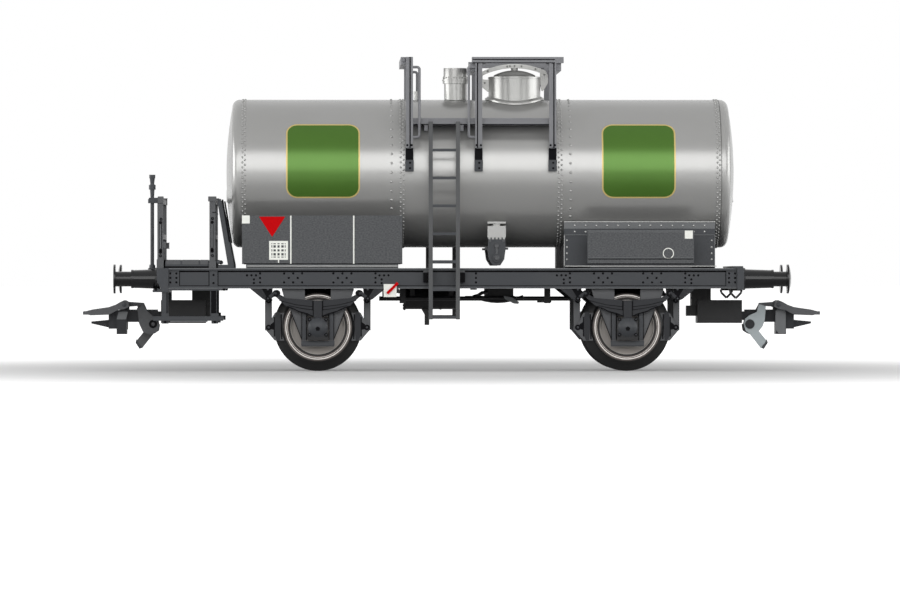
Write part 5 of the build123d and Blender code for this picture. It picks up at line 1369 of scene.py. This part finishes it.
def make_step_details():
    """Flanges, rails and bolts of the steps, and painted shade in the dark gaps beside the hangers."""
    (left, right), (near, _), (low, _) = spans("steps")
    hangers = (left + 1.75, right - 1.25)
    flanges = [((left, right + 0.35), proud(SILL_FACE, 0.2, 1.2), (SILL_LOW - 0.3, SILL_LOW - 0.02))]
    for x in hangers:
        flanges.append((about(x, 0.5), (near + 0.3, near + 1.2), (low - 0.42, low + 0.05)))
        flanges.append((about(x, 0.55), (near, near + 0.4), (low + 0.65, low + 1.1)))
    block_piece("step_flanges", "frame", flanges, far=True, soft=0.03)
    rail = ((left + 2.5, right - 2.3), (near + 0.1, near + 0.3), (low - 0.16, low))
    block_piece("step_rails", "edge", [rail], far=True)
    bolts = [(x, near + 0.3, low - 0.2) for x in hangers]
    bolts += [(x, -SILL_FACE - 0.2, SILL_LOW - 0.16) for x in (right + 0.1, left + 0.4)]
    head_piece("step_bolts", "shade", bolts, 0.2, 0.1, BOLT_HEADS)
    shade_face = proud(SILL_FACE, 0.03, 0.3)
    block_piece("step_hanger_shades", "shade", [
        ((left + 1.95, left + 2.1), shade_face, (low + 0.7, SILL_LOW - 0.35)),
        ((right - 1.8, right - 1.05), shade_face, (low + 1.0, SILL_LOW - 0.35)),
    ], far=True)


# Buffers and couplers

BUFFER_Y = -10.05
COLLAR = ((0.9, -0.01), (1.36, -0.01), (1.38, 0.2), (1.3, 0.45), (0.9, 0.45))


def make_buffer_details():
    """A collar at each end of the buffers' sleeves."""
    (left, right), _, sleeve_z = spans("buffer_sleeves")
    shape = Shape()
    for end, way, base in ((left, 1, 43.6), (right, -1, 42.9)):
        centre = (end, BUFFER_Y, middle(sleeve_z))
        face = abs(end) - base
        shape.turned(centre, (way, 0, 0), COLLAR, 36)
        flange = ((0.9, face - 0.32), (1.6, face - 0.3), (1.7, face - 0.05), (0.9, face))
        shape.turned(centre, (way, 0, 0), flange, 36)
    shape.finish("buffer_collars", "buffer_black", far=True, sharp=40)


# The couplers' outlines, by reach from the wagon's middle and height above the rail
CHEEK = (
    (48.2, 6.16), (48.7, 5.5), (49.6, 5.5), (49.74, 5.8), (49.74, 8.7), (49.5, 9.05), (48.45, 9.05),
    (48.2, 8.8),
)
SMALL_CHEEK = ((49.5, 8.75), (48.1, 8.75), (48.4, 7.6), (49.8, 7.6))
EAR = (
    (46.85, 9.2), (45.83, 9.8), (45.42, 8.99), (44.3, 7.95), (43.85, 7.3), (43.7, 6.97), (43.36, 6.85),
    (43.5, 5.93), (44.15, 5.5), (44.86, 5.3), (45.9, 5.72), (46.48, 6.97), (46.64, 8.68),
)
LEVER_FOOT = ((46.95, 4.65), (47.08, 4.1), (46.5, 3.19), (46.15, 3.4), (46.32, 3.75), (46.6, 4.0))
LEVER_PIN = (44.41, 6.9)
LOOP_PIN = (48.6, 3.6, 9.8)
EAR_FACE = 1.25
LEVER_FACE = 1.95
CHEEK_FACES = (2.12, 2.26)
# Their turned parts, by radius and place along the pin
PIN_CAP = ((0.0, 0.1), (0.5, 0.1), (0.6, 0.0), (0.6, -0.1), (0.0, -0.1))
PIN_POINT = ((0.0, 0.03), (0.24, 0.02), (0.28, -0.05), (0.0, -0.05))
EAR_POINT = ((0.0, 0.2), (0.2, 0.19), (0.25, 0.0), (0.0, 0.0))
EAR_RING = ((0.3, 0.05), (0.3, 0.16), (0.6, 0.13), (0.62, 0.0), (0.3, 0.0))
LOOP_CAP = ((0.0, 0.04), (0.3, 0.04), (0.42, -0.05), (0.0, -0.05))


def make_coupler_details():
    """Pin caps, cheeks, ears and lever feet of the couplers."""
    for end, way in (("left", -1), ("right", 1)):
        side = -way
        pin_x, pin_z = way * LEVER_PIN[0], LEVER_PIN[1]

        def across(*places, side=side):
            return sorted(side * place for place in places)

        shape = Shape()
        shape.turned((pin_x, side * LEVER_FACE, pin_z), (0, side, 0), PIN_CAP, 28)
        shape.finish(f"{end}_lever_pin", "buffer_black", f"{end}_lever", sharp=40)
        shape = Shape()
        shape.turned((pin_x, side * (LEVER_FACE + 0.1), pin_z), (0, side, 0), PIN_POINT, 20)
        shape.plate(mirrored(LEVER_FOOT, way), across(1.3, 2.0))
        shape.finish(f"{end}_lever_fittings", "frame", f"{end}_lever", soft=0.02)
        # The cheeks wear the lighter grey that paints light on them
        shape = Shape()
        shape.plate(mirrored(CHEEK, way), across(*CHEEK_FACES))
        shape.plate(mirrored(SMALL_CHEEK, way), across(*(-face for face in CHEEK_FACES)))
        shape.finish(f"{end}_coupler_cheeks", "edge", f"{end}_coupler", soft=0.03)
        ear_centre = (pin_x, -side * EAR_FACE, pin_z)
        shape = Shape()
        shape.plate(mirrored(EAR, way), across(0.2 - EAR_FACE, -EAR_FACE - 0.06))
        shape.turned(ear_centre, (0, -side, 0), EAR_POINT, 20)
        shape.finish(f"{end}_coupler_ear_plate", "gear", f"{end}_coupler", soft=0.02)
        # A ring of painted shade round the ear's pin
        shape = Shape()
        shape.turned(ear_centre, (0, -side, 0), EAR_RING, 28)
        shape.finish(f"{end}_coupler_ear_shade_ring", "shade", f"{end}_coupler", sharp=40)
        shape = Shape()
        for loop_side in (-1, 1):
            x, y, z = LOOP_PIN
            shape.turned((way * x, loop_side * y, z), (0, loop_side, 0), LOOP_CAP, 20)
        shape.finish(f"{end}_loop_pin_caps", "frame", f"{end}_loop", sharp=40)


def make_rope_eyes():
    """Bolder rope eyes, in place of the thin ones."""
    (left, right), (_, face), (low, high) = spans("rope_eyes")
    bar, shoulder = 0.17, high - 0.62
    corners = (
        (left + bar, high - bar),
        (left + bar + 0.06, shoulder),
        (middle((left, right)), low + bar + 0.03),
        (right - bar - 0.06, shoulder),
        (right - bar, high - bar),
    )
    shape = Shape()
    for start, stop in zip(corners, corners[1:] + corners[:1]):
        shape.tube([(x, -face + bar, z) for x, z in (start, stop)], bar, 10)
    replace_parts(shape.finish("rope_eye_bars", "black", far=True), "rope_eyes")


# Studio


def seen_directly(tree):
    """One for what the camera, a gloss or a glass sees, zero for what only lights the wagon."""
    path = add_node(tree, "ShaderNodeLightPath")
    first = calculate(tree, "MAXIMUM", path.outputs["Is Camera Ray"], path.outputs["Is Glossy Ray"])
    return calculate(tree, "MAXIMUM", first, path.outputs["Is Transmission Ray"])


FLOOR_REACH = 12.0
FLOOR_TONE = (0.6, 0.6, 0.6)
WORLD_LEVEL = 0.12
LAMPS = (  # name, place in metres, width, height, watts
    ("front_box", (0.0, -0.67, 0.25), 1.5, 0.36, 5.6),
    ("top_box", (0.0, 0.1, 0.65), 1.8, 1.6, 1.35),
    ("left_box", (-0.6, 0.0, 0.05), 0.5, 0.4, 3.3),
    ("right_box", (0.6, 0.0, 0.05), 0.5, 0.4, 2.6),
)
LAMP_AIM = Vector((0, 0, 0.02))
CAMERA_PLACE = Vector((-19.3, -1036.0, 13.45)) * MM
CAMERA_AIM = Vector((-0.39, -10.0, 10.5)) * MM
CAMERA_LENS = 278.1


def make_floor():
    """Pale paper that keeps the wagon's shadow; it glows white further out and only faintly near the wagon,
    which paints shade on the paper round the wagon, seen directly and in the wagon's gloss.
    """
    mesh = bpy.data.meshes.new("floor")
    turns = ((-1, -1), (1, -1), (1, 1), (-1, 1))
    corners = [(x * FLOOR_REACH, y * FLOOR_REACH, 0) for x, y in turns]
    mesh.from_pydata(corners, [], [(0, 1, 2, 3)])
    floor = bpy.data.objects.new("floor", mesh)
    bpy.context.scene.collection.objects.link(floor)
    material, tree, shader = blank_material("floor_paper", FLOOR_TONE)
    shader.inputs["Base Color"].default_value = (*FLOOR_TONE, 1)
    shader.inputs["Roughness"].default_value = 0.9
    shader.inputs["Emission Color"].default_value = (1, 1, 1, 1)
    place = add_node(tree, "ShaderNodeTexCoord")
    oval = add_node(tree, "ShaderNodeVectorMath", operation="MULTIPLY")
    oval.inputs[1].default_value = (1.5, 1, 1)
    away = add_node(tree, "ShaderNodeVectorMath", operation="LENGTH")
    fade = add_node(tree, "ShaderNodeMapRange", interpolation_type="SMOOTHSTEP")
    feed(tree, place.outputs["Object"], oval.inputs[0])
    feed(tree, oval.outputs[0], away.inputs[0])
    feed(tree, away.outputs["Value"], fade.inputs["Value"])
    # The glow fades out towards the wagon: painted shade round it
    for label, value in (("From Min", 0.06), ("From Max", 0.26), ("To Min", 0.12)):
        fade.inputs[label].default_value = value
    strength = calculate(tree, "MULTIPLY", seen_directly(tree), fade.outputs["Result"])
    feed(tree, strength, shader.inputs["Emission Strength"])
    mesh.materials.append(material)


def make_surround():
    """A white surround that itself lights the wagon only a little."""
    world = bpy.data.worlds.new("surround")
    bpy.context.scene.world = world
    world.use_nodes = True
    tree = world.node_tree
    level = add_node(tree, "ShaderNodeMapRange")
    level.inputs["To Min"].default_value = WORLD_LEVEL
    feed(tree, seen_directly(tree), level.inputs["Value"])
    tree.nodes["Background"].inputs["Color"].default_value = (1, 1, 1, 1)
    feed(tree, level.outputs["Result"], tree.nodes["Background"].inputs["Strength"])


def make_lamps():
    """Four soft boxes round the wagon."""
    for name, place, width, height, watts in LAMPS:
        data = bpy.data.lights.new(name, "AREA")
        data.shape = "RECTANGLE"
        data.size = width
        data.size_y = height
        data.energy = watts
        lamp = bpy.data.objects.new(name, data)
        bpy.context.scene.collection.objects.link(lamp)
        lamp.location = place
        lamp.rotation_mode = "QUATERNION"
        lamp.rotation_quaternion = (LAMP_AIM - Vector(place)).to_track_quat("-Z", "Y")
        lamp.visible_camera = False


def make_camera():
    """A long lens from the side, a little past the wagon's left end."""
    data = bpy.data.cameras.new("camera")
    data.lens = CAMERA_LENS
    data.sensor_width = 36.0
    data.clip_start = 0.01
    data.clip_end = 100.0
    view = bpy.data.objects.new("camera", data)
    bpy.context.scene.collection.objects.link(view)
    view.location = CAMERA_PLACE
    view.rotation_mode = "QUATERNION"
    view.rotation_quaternion = (CAMERA_AIM - CAMERA_PLACE).to_track_quat("-Z", "Y")
    bpy.context.scene.camera = view


for make_part in (
    make_tank_rivets, make_tank_seams, make_signs, make_head_clips, make_dome_rings, make_bow,
    make_vent_details, make_outlet_details, make_railing_details, make_walkway_slats,
    make_ladder_details, make_board_marks, make_saddle_details, make_sill_details, make_spring_details,
    make_axle_box_details, make_guard_details, make_brake_details, make_brake_rods,
    make_cylinder_details, make_platform_posts, make_platform_floor_details, make_spindle_details,
    make_step_details, make_buffer_details, make_coupler_details, make_rope_eyes,
    make_floor, make_surround, make_lamps, make_camera,
):
    make_part()
bpy.context.scene.view_settings.view_transform = "Standard"
